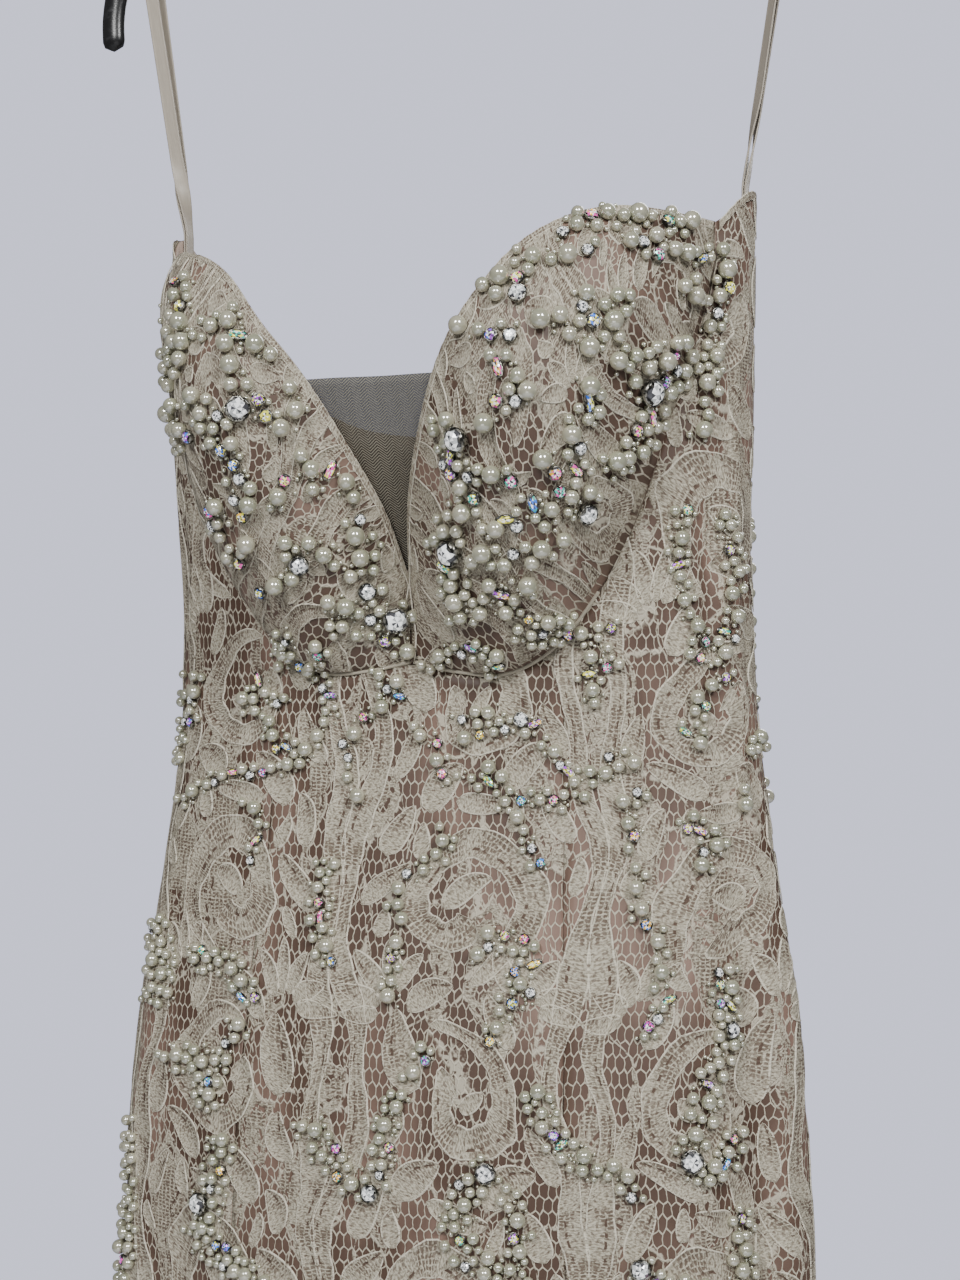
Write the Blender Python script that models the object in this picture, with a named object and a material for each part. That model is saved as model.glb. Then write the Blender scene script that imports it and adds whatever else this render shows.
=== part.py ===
"""A strapless, floor-length lace gown hung by two ribbon loops from a plain one-piece hanger.

Metres, +Z up. The front of the gown faces -Y and the wearer's left is +X. The origin is the inside
top of the hanger's hook, where a rail holds it. A height on the gown is given as its drop: how far
it lies below the top of the side seams. An angle on the gown runs round it, from 0 at the centre
front through 90 degrees at the left side seam to 180 at the centre back.
"""

import math
from collections import namedtuple

import bpy
from mathutils import Vector

# Driving sizes of the gown
SIDE_TOP_Z = -0.264
GOWN_LENGTH = 1.30
PANEL_WALL = 0.0020
CUP_WALL = 0.0030
NET_WALL = 0.0010
SEAM_GAP = 0.0003
ROUNDNESS = 2.3
ZIP_LENGTH = 0.32
ZIP_TAPE_WIDTH = 0.024
ZIP_BELOW_EDGE = 0.003
NET_TOP_DROP = 0.0905
NET_LOW_DROP = 0.1740
NET_TUCK = 0.0045
BEADWORK_HEIGHT = 0.0045

# Driving sizes of the hanger and its ribbons
HOOK_INNER_RADIUS = 0.019
HOOK_WIRE_RADIUS = 0.0045
ARM_HALF_THICKNESS = 0.0040
ARM_HALF_HEIGHT = 0.0062
RIBBON_WIDTH = 0.0072
RIBBON_THICKNESS = 0.0009
RIBBON_TUCK = 0.018
RIBBON_PLAY = 0.0006
RIBBON_TURNS = 0.62
RIBBON_MEETS = 0.88
RIBBON_STEPS = 34

# Mesh steps
BEADED_STEP = 0.0185
PLAIN_STEP = 0.048
BEADED_DEPTH = 0.55
CENTRE_STATIONS = 6
SIDE_STATIONS = 13
CUP_ROWS = 13
SIDE_COLUMNS = 9
BACK_COLUMNS = 13
SIDE_ANGLE = math.pi / 2
BACK_ANGLE = math.pi

Section = namedtuple("Section", "drop half_width front_depth back_depth")
SECTIONS = [
    Section(0.000, 0.1490, 0.050, 0.040),
    Section(0.050, 0.1485, 0.055, 0.046),
    Section(0.110, 0.1475, 0.057, 0.051),
    Section(0.166, 0.1465, 0.054, 0.051),
    Section(0.236, 0.1495, 0.050, 0.052),
    Section(0.286, 0.1545, 0.054, 0.060),
    Section(0.336, 0.1615, 0.063, 0.071),
    Section(0.386, 0.1675, 0.073, 0.080),
    Section(0.436, 0.1710, 0.080, 0.086),
    Section(0.526, 0.1755, 0.084, 0.090),
    Section(0.700, 0.1790, 0.086, 0.092),
    Section(0.850, 0.1800, 0.088, 0.093),
    Section(1.000, 0.1920, 0.100, 0.106),
    Section(1.150, 0.2150, 0.124, 0.132),
    Section(1.300, 0.2450, 0.152, 0.162),
]

# The seam under a cup, from the centre front out and up to the side, and the free edge above it
SeamPoint = namedtuple("SeamPoint", "across drop")
CUP_SEAM = [
    SeamPoint(0.0000, 0.2160),
    SeamPoint(0.0220, 0.2205),
    SeamPoint(0.0450, 0.2215),
    SeamPoint(0.0660, 0.2110),
    SeamPoint(0.0830, 0.1915),
    SeamPoint(0.1010, 0.1605),
    SeamPoint(0.1160, 0.1180),
    SeamPoint(0.1280, 0.0770),
    SeamPoint(0.1345, 0.0480),
    SeamPoint(0.1365, 0.0340),
]
NECKLINE = [
    SeamPoint(0.0000, 0.1790),
    SeamPoint(0.0060, 0.1460),
    SeamPoint(0.0190, 0.1130),
    SeamPoint(0.0330, 0.0840),
    SeamPoint(0.0480, 0.0620),
    SeamPoint(0.0680, 0.0375),
    SeamPoint(0.0880, 0.0240),
    SeamPoint(0.1070, 0.0185),
    SeamPoint(0.1220, 0.0182),
    SeamPoint(0.1363, 0.0180),
]

# How far a cup stands off the line of the body, at its free edge and as extra fullness below it
CupForm = namedtuple("CupForm", "along edge_lift fullness")
CUP_FORM = [
    CupForm(0.00, 0.0000, 0.000),
    CupForm(0.12, 0.0120, 0.003),
    CupForm(0.28, 0.0310, 0.008),
    CupForm(0.42, 0.0450, 0.012),
    CupForm(0.55, 0.0520, 0.014),
    CupForm(0.70, 0.0470, 0.013),
    CupForm(0.85, 0.0330, 0.010),
    CupForm(0.95, 0.0140, 0.005),
    CupForm(1.00, 0.0000, 0.000),
]
CUP_ROUNDNESS = 2.2

# The cup on the wearer's right sags a little at its free edge
CUP_SAG = 0.006

# Where the princess seams run down the front, as a distance from the centre
PrincessPoint = namedtuple("PrincessPoint", "drop across")
PRINCESS_SEAM = [
    PrincessPoint(0.2070, 0.0700),
    PrincessPoint(0.3000, 0.0730),
    PrincessPoint(0.4000, 0.0785),
    PrincessPoint(0.5500, 0.0830),
    PrincessPoint(0.8500, 0.0860),
    PrincessPoint(1.3000, 0.1180),
]

# The top edge of the back dips from the side seams to the centre back
BACK_DIP = 0.101
BACK_DIP_POWER = 3.2

Fold = namedtuple("Fold", "angle_deg starts full half_width_deg height")
FOLDS = [
    Fold(-84, 0.10, 0.24, 24, -0.0075),
    Fold(48, 0.24, 0.40, 9, 0.0050),
    Fold(66, 0.22, 0.36, 8, -0.0045),
    Fold(82, 0.22, 0.38, 9, 0.0060),
    Fold(104, 0.24, 0.40, 9, -0.0050),
    Fold(124, 0.26, 0.42, 10, 0.0060),
    Fold(150, 0.30, 0.46, 11, -0.0050),
    Fold(-34, 0.34, 0.50, 10, -0.0030),
    Fold(-56, 0.26, 0.42, 10, 0.0040),
    Fold(-78, 0.24, 0.40, 9, -0.0045),
    Fold(-98, 0.24, 0.40, 9, 0.0045),
    Fold(-122, 0.26, 0.42, 10, -0.0050),
    Fold(-146, 0.30, 0.46, 11, 0.0060),
    Fold(172, 0.40, 0.60, 11, 0.0050),
    Fold(12, 0.46, 0.66, 10, 0.0035),
]

# The flare falls in waves whose height grows towards the hem
WAVE_COUNT = 9
Wave = namedtuple("Wave", "drop height")
HEM_WAVES = [
    Wave(0.62, 0.0000),
    Wave(0.78, 0.0015),
    Wave(0.92, 0.0060),
    Wave(1.08, 0.0130),
    Wave(1.30, 0.0240),
]

# Sprays of pearls and stones that stand off the lace, each one a bend from one end to the other.
# Those on the cups are placed as a share along the seam and a share up from it.
CupSpray = namedtuple("CupSpray", "along up mid_along mid_up end_along end_up half_width")
CUP_SPRAYS = [
    CupSpray(0.10, 0.20, 0.22, 0.80, 0.50, 0.93, 0.011),
    CupSpray(0.50, 0.93, 0.74, 0.98, 0.93, 0.80, 0.011),
    CupSpray(0.93, 0.80, 0.86, 0.50, 0.72, 0.18, 0.010),
    CupSpray(0.06, 0.35, 0.28, 0.30, 0.40, 0.55, 0.010),
    CupSpray(0.40, 0.55, 0.55, 0.80, 0.72, 0.60, 0.011),
    CupSpray(0.22, 0.10, 0.42, 0.10, 0.60, 0.30, 0.010),
    CupSpray(0.60, 0.30, 0.70, 0.42, 0.66, 0.62, 0.009),
]
BodySpray = namedtuple("BodySpray", "angle_deg drop mid_angle mid_drop end_angle end_drop half_width")
BODY_SPRAYS = [
    BodySpray(-18, 0.232, 4, 0.248, 20, 0.235, 0.009),
    BodySpray(-10, 0.262, -2, 0.300, 22, 0.262, 0.009),
    BodySpray(24, 0.272, 32, 0.318, 42, 0.330, 0.009),
    BodySpray(40, 0.196, 46, 0.226, 40, 0.252, 0.009),
    BodySpray(58, 0.150, 72, 0.190, 60, 0.262, 0.010),
    BodySpray(-34, 0.214, -46, 0.246, -36, 0.290, 0.009),
    BodySpray(-62, 0.196, -76, 0.232, -66, 0.292, 0.009),
    BodySpray(-40, 0.306, -50, 0.340, -44, 0.366, 0.008),
    BodySpray(-22, 0.330, -28, 0.360, -22, 0.400, 0.008),
    BodySpray(-2, 0.318, -10, 0.360, -4, 0.404, 0.009),
    BodySpray(12, 0.356, 24, 0.372, 18, 0.424, 0.009),
    BodySpray(40, 0.318, 52, 0.360, 44, 0.420, 0.010),
    BodySpray(66, 0.300, 76, 0.330, 70, 0.372, 0.008),
    BodySpray(62, 0.392, 70, 0.440, 58, 0.484, 0.010),
    BodySpray(-72, 0.346, -58, 0.396, -66, 0.462, 0.010),
    BodySpray(-30, 0.430, -12, 0.500, -6, 0.426, 0.009),
    BodySpray(18, 0.440, 24, 0.500, 42, 0.514, 0.010),
    BodySpray(-62, 0.470, -48, 0.500, -46, 0.540, 0.009),
]

BUILT = []


def clean_scene():
    """Empties the scene, so that only the gown is in it."""
    for item in list(bpy.data.objects):
        bpy.data.objects.remove(item, do_unlink=True)


def read_row(rows, column, at):
    """A smooth value of one column between the rows of a table, whose first column is the position."""
    places = [row[0] for row in rows]
    values = [getattr(row, column) for row in rows]
    at = min(max(at, places[0]), places[-1])
    upper = next(i for i in range(1, len(places)) if at <= places[i])
    lower = upper - 1

    def slope(i):
        before, after = max(i - 1, 0), min(i + 1, len(places) - 1)
        return (values[after] - values[before]) / (places[after] - places[before])

    span = places[upper] - places[lower]
    t = (at - places[lower]) / span
    start, end = values[lower], values[upper]
    return (
        start * (2 * t**3 - 3 * t**2 + 1)
        + end * (3 * t**2 - 2 * t**3)
        + span * (slope(lower) * (t**3 - 2 * t**2 + t) + slope(upper) * (t**3 - t**2))
    )


def ramp(value, start, end):
    """0 before start, 1 after end, and a smooth rise between them."""
    t = min(max((value - start) / (end - start), 0.0), 1.0)
    return t * t * (3 - 2 * t)


def curve_points(points, steps_each=12):
    """A smooth line through a few points, as many close points."""
    points = [Vector(p) for p in points]
    line = []
    for i in range(len(points) - 1):
        before = points[i - 1] if i else 2 * points[0] - points[1]
        after = points[i + 2] if i + 2 < len(points) else 2 * points[-1] - points[-2]
        for step in range(steps_each):
            t = step / steps_each
            line.append(
                0.5
                * (
                    2 * points[i]
                    + (points[i + 1] - before) * t
                    + (2 * before - 5 * points[i] + 4 * points[i + 1] - after) * t**2
                    + (3 * points[i] - before - 3 * points[i + 1] + after) * t**3
                )
            )
    line.append(points[-1])
    return line


def spaced(line, count):
    """count + 1 points at equal distances along a line."""
    reached = [0.0]
    for a, b in zip(line, line[1:]):
        reached.append(reached[-1] + (b - a).length)
    found = []
    for k in range(count + 1):
        wanted = reached[-1] * k / count
        i = next((j for j in range(1, len(line)) if reached[j] >= wanted - 1e-12), len(line) - 1)
        share = (wanted - reached[i - 1]) / (reached[i] - reached[i - 1])
        found.append(line[i - 1].lerp(line[i], share))
    return found


def fold_height(angle, drop):
    """How far the folds and the waves of the flare push the cloth out at a place."""
    height = 0.0
    for fold in FOLDS:
        away = (math.degrees(angle) - fold.angle_deg + 180) % 360 - 180
        height += fold.height * math.exp(-((away / fold.half_width_deg) ** 2)) * ramp(drop, fold.starts, fold.full)
    if drop > HEM_WAVES[0].drop:
        height += read_row(HEM_WAVES, "height", drop) * math.cos(WAVE_COUNT * angle)
    return height


def cloth_point(angle, drop):
    """A point of the outside of the gown, without its cups."""
    width = read_row(SECTIONS, "half_width", drop)
    front = math.cos(angle) > 0
    depth = read_row(SECTIONS, "front_depth" if front else "back_depth", drop)
    power = 2 / ROUNDNESS
    x = width * math.copysign(abs(math.sin(angle)) ** power, math.sin(angle))
    y = -depth * math.copysign(abs(math.cos(angle)) ** power, math.cos(angle))
    outward = Vector((x / width**2, y / depth**2, 0)).normalized()
    return Vector((x, y, SIDE_TOP_Z - drop)) + outward * fold_height(angle, drop)


def cloth_normal(angle, drop):
    """The direction out of the cloth at a place."""
    step_angle, step_drop = 0.01, 0.002
    along = cloth_point(angle + step_angle, drop) - cloth_point(angle - step_angle, drop)
    down = cloth_point(angle, drop + step_drop) - cloth_point(angle, drop - step_drop)
    return down.cross(along).normalized()


def angle_at(across, drop):
    """The angle of the front point that lies this far across from the centre."""
    width = read_row(SECTIONS, "half_width", drop)
    share = min(abs(across) / width, 1.0)
    return math.copysign(math.asin(share ** (ROUNDNESS / 2)), across)


def seam_stations():
    """The points along the seam under a cup, where its columns meet the body's rows and columns."""
    line = curve_points([(p.across, p.drop) for p in CUP_SEAM])
    joint = min(range(len(line)), key=lambda i: abs(line[i].x - PRINCESS_SEAM[0].across))
    inner = spaced(line[: joint + 1], CENTRE_STATIONS)
    return inner + spaced(line[joint:], SIDE_STATIONS)[1:]


def off_the_seam(stations, k, distance):
    """A seam station moved square to the seam, towards the cup where distance is above 0."""
    before, after = stations[max(k - 1, 0)], stations[min(k + 1, len(stations) - 1)]
    along = (after - before).normalized()
    return stations[k] + Vector((-abs(along.y), -along.x)) * distance


def cup_place(stations, edge, k, share):
    """Where a cup's column k lies at a share of its height, as a distance across and a drop."""
    low = off_the_seam(stations, k, SEAM_GAP / 2)
    low.x = max(low.x, SEAM_GAP / 2)
    high = Vector((max(edge[k].x, SEAM_GAP / 2), edge[k].y))
    return low.lerp(high, share)


def cup_point(stations, edge, k, share):
    """A point of the outside of a cup."""
    place = cup_place(stations, edge, k, share)
    along = k / (len(stations) - 1)
    rise = (1 - (1 - share) ** CUP_ROUNDNESS) ** (1 / CUP_ROUNDNESS)
    lift = read_row(CUP_FORM, "edge_lift", along) * rise
    lift += read_row(CUP_FORM, "fullness", along) * math.sin(math.pi * share)
    return cloth_point(angle_at(place.x, place.y), place.y) + Vector((0, -lift, 0))


def bend_points(start, middle, end, count=14):
    """Points along one smooth bend."""
    return [
        start.lerp(middle, k / count).lerp(middle.lerp(end, k / count), k / count)
        for k in range(count + 1)
    ]


def cup_spray_lines(stations, edge):
    """The middle lines of the sprays on the cup at +X, with the half width of each."""
    last = len(stations) - 1
    lines = []
    for s in CUP_SPRAYS:
        bend = bend_points(
            Vector((s.along, s.up)), Vector((s.mid_along, s.mid_up)), Vector((s.end_along, s.end_up))
        )
        lines.append(([cup_point(stations, edge, round(p.x * last), p.y) for p in bend], s.half_width))
    return lines


def body_spray_lines():
    """The middle lines of the sprays on the front, and of the same sprays turned to the back."""
    lines = []
    for s in BODY_SPRAYS:
        bend = bend_points(
            Vector((s.angle_deg, s.drop)), Vector((s.mid_angle, s.mid_drop)), Vector((s.end_angle, s.end_drop))
        )
        for turned in (False, True):
            angles = [math.radians(180 - p.x if turned else p.x) for p in bend]
            lines.append(([cloth_point(a, p.y) for a, p in zip(angles, bend)], s.half_width))
    return lines


def beadwork_height(point, lines):
    """How far the beadwork stands off the lace at a point."""
    height = 0.0
    for line, half_width in lines:
        if (line[len(line) // 2] - point).length > 0.12:
            continue
        away = min((p - point).length for p in line) / (half_width * 1.25)
        if away < 1:
            height = max(height, BEADWORK_HEIGHT * math.sqrt(1 - away**2))
    return height


def coloured(name, colour, roughness, metallic=0.0):
    """A plain finish."""
    material = bpy.data.materials.new(name)
    material.use_nodes = True
    shader = material.node_tree.nodes["Principled BSDF"]
    shader.inputs["Base Color"].default_value = (*colour, 1.0)
    shader.inputs["Roughness"].default_value = roughness
    shader.inputs["Metallic"].default_value = metallic
    return material


def make_object(name, points, faces, material):
    """One named closed solid, shaded smooth but for its sharp edges."""
    mesh = bpy.data.meshes.new(name)
    mesh.from_pydata([tuple(p) for p in points], [], faces)
    mesh.validate()
    mesh.shade_smooth()
    mesh.set_sharp_from_angle(angle=math.radians(50))
    mesh.materials.append(material)
    made = bpy.data.objects.new(name, mesh)
    bpy.context.scene.collection.objects.link(made)
    BUILT.append(made)
    return made


def wall(name, outer, inner, material):
    """A cloth wall between two grids of points, whose rows run down and columns run round."""
    rows, columns = len(outer), len(outer[0])
    points = [p for row in outer for p in row] + [p for row in inner for p in row]
    behind = rows * columns
    faces = []

    def quad(a, b, c, d):
        faces.extend([(a, b, c), (a, c, d)])

    def at(r, c):
        return r * columns + c

    for r in range(rows - 1):
        for c in range(columns - 1):
            a, b, d, e = at(r, c), at(r + 1, c), at(r + 1, c + 1), at(r, c + 1)
            quad(a, b, d, e)
            quad(behind + a, behind + e, behind + d, behind + b)
        for c, turned in ((0, False), (columns - 1, True)):
            a, b = at(r, c), at(r + 1, c)
            quad(*((a, b, behind + b, behind + a) if turned else (b, a, behind + a, behind + b)))
    for c in range(columns - 1):
        for r, turned in ((0, False), (rows - 1, True)):
            a, b = at(r, c), at(r, c + 1)
            quad(*((b, a, behind + a, behind + b) if turned else (a, b, behind + b, behind + a)))
    return make_object(name, points, faces, material)


def body_wall(name, places, lines, material):
    """A panel of the body from its grid of angles and drops, with raised beadwork on its outside."""
    outer, inner = [], []
    for r, row in enumerate(places):
        outer_row, inner_row = [], []
        for c, (angle, drop) in enumerate(row):
            point, out = cloth_point(angle, drop), cloth_normal(angle, drop)
            on_edge = r in (0, len(places) - 1) or c in (0, len(row) - 1)
            raised = 0.0 if on_edge else beadwork_height(point, lines)
            outer_row.append(point + out * raised)
            inner_row.append(point - out * PANEL_WALL)
        outer.append(outer_row)
        inner.append(inner_row)
    return wall(name, outer, inner, material)


def drops_from(start):
    """The heights of a panel's rows, close where there is beadwork and wider below it."""
    def even(first, last, step):
        count = max(1, round((last - first) / step))
        return [first + (last - first) * k / count for k in range(count)]

    return even(start, BEADED_DEPTH, BEADED_STEP) + even(BEADED_DEPTH, GOWN_LENGTH, PLAIN_STEP) + [GOWN_LENGTH]


def gap_angle(angle, drop):
    """The turn that makes half a seam gap at a place."""
    step = 0.002
    speed = (cloth_point(angle + step, drop) - cloth_point(angle - step, drop)).length / (2 * step)
    return SEAM_GAP / 2 / speed


def sag_share(along):
    """How much of the sag shows at a share of the way along a cup's free edge."""
    return ramp(along, 0.30, 0.62) * (1 - ramp(along, 0.82, 1.0))


def make_cups(stations, edge, material):
    """The two padded cups, each from the seam under it up to its free edge."""
    lines = cup_spray_lines(stations, edge)
    last = len(stations) - 1
    outer, inner = [], []
    for r in range(CUP_ROWS + 1):
        share = 1 - r / CUP_ROWS
        outer_row, inner_row = [], []
        for k in range(last + 1):
            point = cup_point(stations, edge, k, share)
            step = 0.02
            up = cup_point(stations, edge, k, min(share + step, 1)) - cup_point(
                stations, edge, k, max(share - step, 0)
            )
            left, right = max(k - 1, 0), min(k + 1, last)
            round_it = cup_point(stations, edge, right, share) - cup_point(stations, edge, left, share)
            place = cup_place(stations, edge, k, share)
            body_out = cloth_normal(angle_at(place.x, place.y), place.y)
            own_out = round_it.cross(up).normalized()
            blend = ramp(share, 0.0, 0.16) * ramp(k / last, 1.0, 0.9)
            out = body_out.lerp(own_out, blend).normalized()
            on_edge = r in (0, CUP_ROWS) or k in (0, last)
            raised = 0.0 if on_edge else beadwork_height(point, lines)
            outer_row.append(point + out * raised)
            inner_row.append(point - out * CUP_WALL)
        outer.append(outer_row)
        inner.append(inner_row)
    wall("cup_left", outer, inner, material)

    def mirrored(grid):
        turned = []
        for r, row in enumerate(grid):
            drop = [CUP_SAG * (1 - r / CUP_ROWS) ** 2 * sag_share(k / last) for k in range(last + 1)]
            turned.append([Vector((-p.x, p.y, p.z - d)) for p, d in zip(row, drop)][::-1])
        return turned

    wall("cup_right", mirrored(outer), mirrored(inner), material)


def princess_across(drop, joint):
    """How far from the centre a princess seam runs, from its joint with the cup's seam down."""
    return joint.x + read_row(PRINCESS_SEAM, "across", drop) - read_row(PRINCESS_SEAM, "across", joint.y)


def make_front_centre(stations, lines, material):
    """The panel between the princess seams, from the seam under the cups to the hem."""
    joint = stations[CENTRE_STATIONS]
    columns = range(-CENTRE_STATIONS, CENTRE_STATIONS + 1)
    places = []
    for drop in drops_from(joint.y):
        row = []
        for k in columns:
            station = off_the_seam(stations, abs(k), -SEAM_GAP / 2)
            share = stations[abs(k)].x / joint.x
            here = drop + (station.y - joint.y) * (1 - ramp(drop, joint.y, joint.y + 0.07))
            across = princess_across(drop, joint) * share
            angle = angle_at(math.copysign(across, k), here)
            if abs(k) == CENTRE_STATIONS:
                angle -= math.copysign(gap_angle(angle, here), k)
            row.append((angle, here))
        places.append(row)
    body_wall("front_centre", places, lines, material)


def side_rows(stations):
    """The rows of a side front: the across and drop of its inner end, and the drop at its side seam."""
    top, joint = NECKLINE[-1], stations[CENTRE_STATIONS]
    rows = [(off_the_seam(stations, len(stations) - 1, -SEAM_GAP / 2).x, top.drop, 0.0)]
    first_drop, side_drop = stations[-1].y, 0.016
    for k in range(len(stations) - 1, CENTRE_STATIONS, -1):
        place = off_the_seam(stations, k, -SEAM_GAP / 2)
        share = (stations[k].y - first_drop) / (joint.y - first_drop)
        rows.append((place.x, place.y, side_drop + share * (joint.y - side_drop)))
    corner = off_the_seam(stations, CENTRE_STATIONS, -SEAM_GAP / 2)
    rows.append((joint.x + SEAM_GAP / 2, corner.y, joint.y))
    for drop in drops_from(joint.y)[1:]:
        rows.append((princess_across(drop, joint), drop, drop))
    return rows


def make_side_fronts(stations, lines, material):
    """The panels from the cup and the princess seam round to the side seam."""
    joint = stations[CENTRE_STATIONS]
    for side, name in ((1, "side_front_left"), (-1, "side_front_right")):
        places = []
        for across, inner_drop, outer_drop in side_rows(stations):
            inner_angle = angle_at(across, inner_drop)
            if inner_drop > joint.y + SEAM_GAP:
                inner_angle += gap_angle(side * inner_angle, inner_drop)
            outer_angle = SIDE_ANGLE - gap_angle(side * SIDE_ANGLE, outer_drop)
            row = []
            for c in range(SIDE_COLUMNS + 1):
                share = c / SIDE_COLUMNS
                angle = inner_angle + (outer_angle - inner_angle) * share
                row.append((side * angle, inner_drop + (outer_drop - inner_drop) * share))
            places.append(row if side > 0 else row[::-1])
        body_wall(name, places, lines, material)


def back_top(angle):
    """The drop of the back's top edge at an angle."""
    return BACK_DIP * (1 - abs(math.sin(angle)) ** BACK_DIP_POWER)


def make_backs(lines, material):
    """The two back panels, from the side seams to the centre back."""
    for side, name in ((1, "back_left"), (-1, "back_right")):
        places = []
        for drop in drops_from(0.0):
            start = SIDE_ANGLE + gap_angle(side * SIDE_ANGLE, drop)
            end = BACK_ANGLE - gap_angle(side * BACK_ANGLE, drop)
            row = []
            for c in range(BACK_COLUMNS + 1):
                angle = start + (end - start) * c / BACK_COLUMNS
                top = back_top(angle)
                here = drop + top * (1 - ramp(drop, 0.0, 0.30))
                row.append((side * angle, here))
            places.append(row if side > 0 else row[::-1])
        body_wall(name, places, lines, material)


def make_zip(material):
    """The tape of the concealed zip, inside the centre back seam."""
    outer, inner = [], []
    rows, columns = 12, 4
    for r in range(rows + 1):
        drop = BACK_DIP + ZIP_BELOW_EDGE + ZIP_LENGTH * r / rows
        turn_each_metre = gap_angle(BACK_ANGLE, drop) / (SEAM_GAP / 2)
        outer_row, inner_row = [], []
        for c in range(columns + 1):
            angle = BACK_ANGLE + (c / columns - 0.5) * ZIP_TAPE_WIDTH * turn_each_metre
            point, out = cloth_point(angle, drop), cloth_normal(angle, drop)
            outer_row.append(point - out * (PANEL_WALL + SEAM_GAP * 1.4))
            inner_row.append(point - out * (PANEL_WALL + SEAM_GAP * 1.4 + NET_WALL))
        outer.append(outer_row)
        inner.append(inner_row)
    wall("zip_tape", outer, inner, material)


def make_net(stations, edge, material):
    """The sheer insert that spans the plunge of the neckline, just behind the edges of the cups."""
    rows, columns = 11, 8
    last = len(stations) - 1
    edge_line = [cup_point(stations, edge, k, 1) for k in range(last + 1)]
    outer, inner = [], []
    for r in range(rows + 1):
        z = SIDE_TOP_Z - (NET_TOP_DROP + (NET_LOW_DROP - NET_TOP_DROP) * r / rows)
        k = next(i for i in range(1, last + 1) if edge_line[i].z >= z)
        share = (z - edge_line[k - 1].z) / (edge_line[k].z - edge_line[k - 1].z)
        point = edge_line[k - 1].lerp(edge_line[k], share)
        reach = point.x + NET_TUCK
        y = point.y + CUP_WALL
        row = [Vector((reach * (2 * c / columns - 1), y, z)) for c in range(columns + 1)]
        outer.append(row)
        inner.append([p + Vector((0, NET_WALL, 0)) for p in row])
    wall("neck_net", outer, inner, material)


def tube(name, path, half_sizes, across, material, sides=10):
    """A closed oval bar along a path in the plane square to across."""
    points, faces = [], []
    for i, p in enumerate(path):
        along = (path[min(i + 1, len(path) - 1)] - path[max(i - 1, 0)]).normalized()
        other = along.cross(across).normalized()
        shrink = 0.55 if i in (0, len(path) - 1) else 1.0
        for s in range(sides):
            turn = 2 * math.pi * s / sides
            points.append(
                p
                + across * (half_sizes[0] * shrink * math.cos(turn))
                + other * (half_sizes[1] * shrink * math.sin(turn))
            )
    for i in range(len(path) - 1):
        for s in range(sides):
            a, b = i * sides + s, i * sides + (s + 1) % sides
            faces.append((a, b, b + sides, a + sides))
    faces.append(tuple(range(sides))[::-1])
    faces.append(tuple((len(path) - 1) * sides + s for s in range(sides)))
    return make_object(name, points, faces, material)


ArmPoint = namedtuple("ArmPoint", "across height")
ARM = [
    ArmPoint(0.000, -0.0680),
    ArmPoint(0.040, -0.0710),
    ArmPoint(0.085, -0.0820),
    ArmPoint(0.125, -0.0965),
    ArmPoint(0.150, -0.1070),
    ArmPoint(0.1680, -0.1135),
    ArmPoint(0.1790, -0.1190),
    ArmPoint(0.1865, -0.1310),
    ArmPoint(0.1893, -0.1460),
    ArmPoint(0.1888, -0.1620),
]
NOTCH_INDEX = 5
NOTCH = ARM[NOTCH_INDEX]


def make_hanger(material):
    """The moulded hanger: two drooping arms in one bar, and its hook rising from the middle."""
    right = curve_points([(p.across, 0, p.height) for p in ARM], 3)
    left = [Vector((-p.x, p.y, p.z)) for p in right[:0:-1]]
    across = Vector((0, 1, 0))
    arms = tube("hanger", left + right, (ARM_HALF_THICKNESS, ARM_HALF_HEIGHT), across, material)
    radius = HOOK_INNER_RADIUS + HOOK_WIRE_RADIUS
    centre_z = -HOOK_INNER_RADIUS
    arc = []
    for step in range(19):
        turn = math.radians(200 - 240 * step / 18)
        arc.append(Vector((radius * math.cos(turn), 0, centre_z + radius * math.sin(turn))))
    neck = curve_points([tuple(arc[-1]), (0.0065, 0, -0.0455), (0.0, 0, -0.0560), (0.0, 0, -0.0690)], 4)
    hook = tube("hook", arc + neck[1:], (HOOK_WIRE_RADIUS, HOOK_WIRE_RADIUS), across, material)
    join = arms.modifiers.new("hook", "BOOLEAN")
    join.operation = "UNION"
    join.object = hook
    hook.hide_render = True
    hook.display_type = "WIRE"


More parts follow.
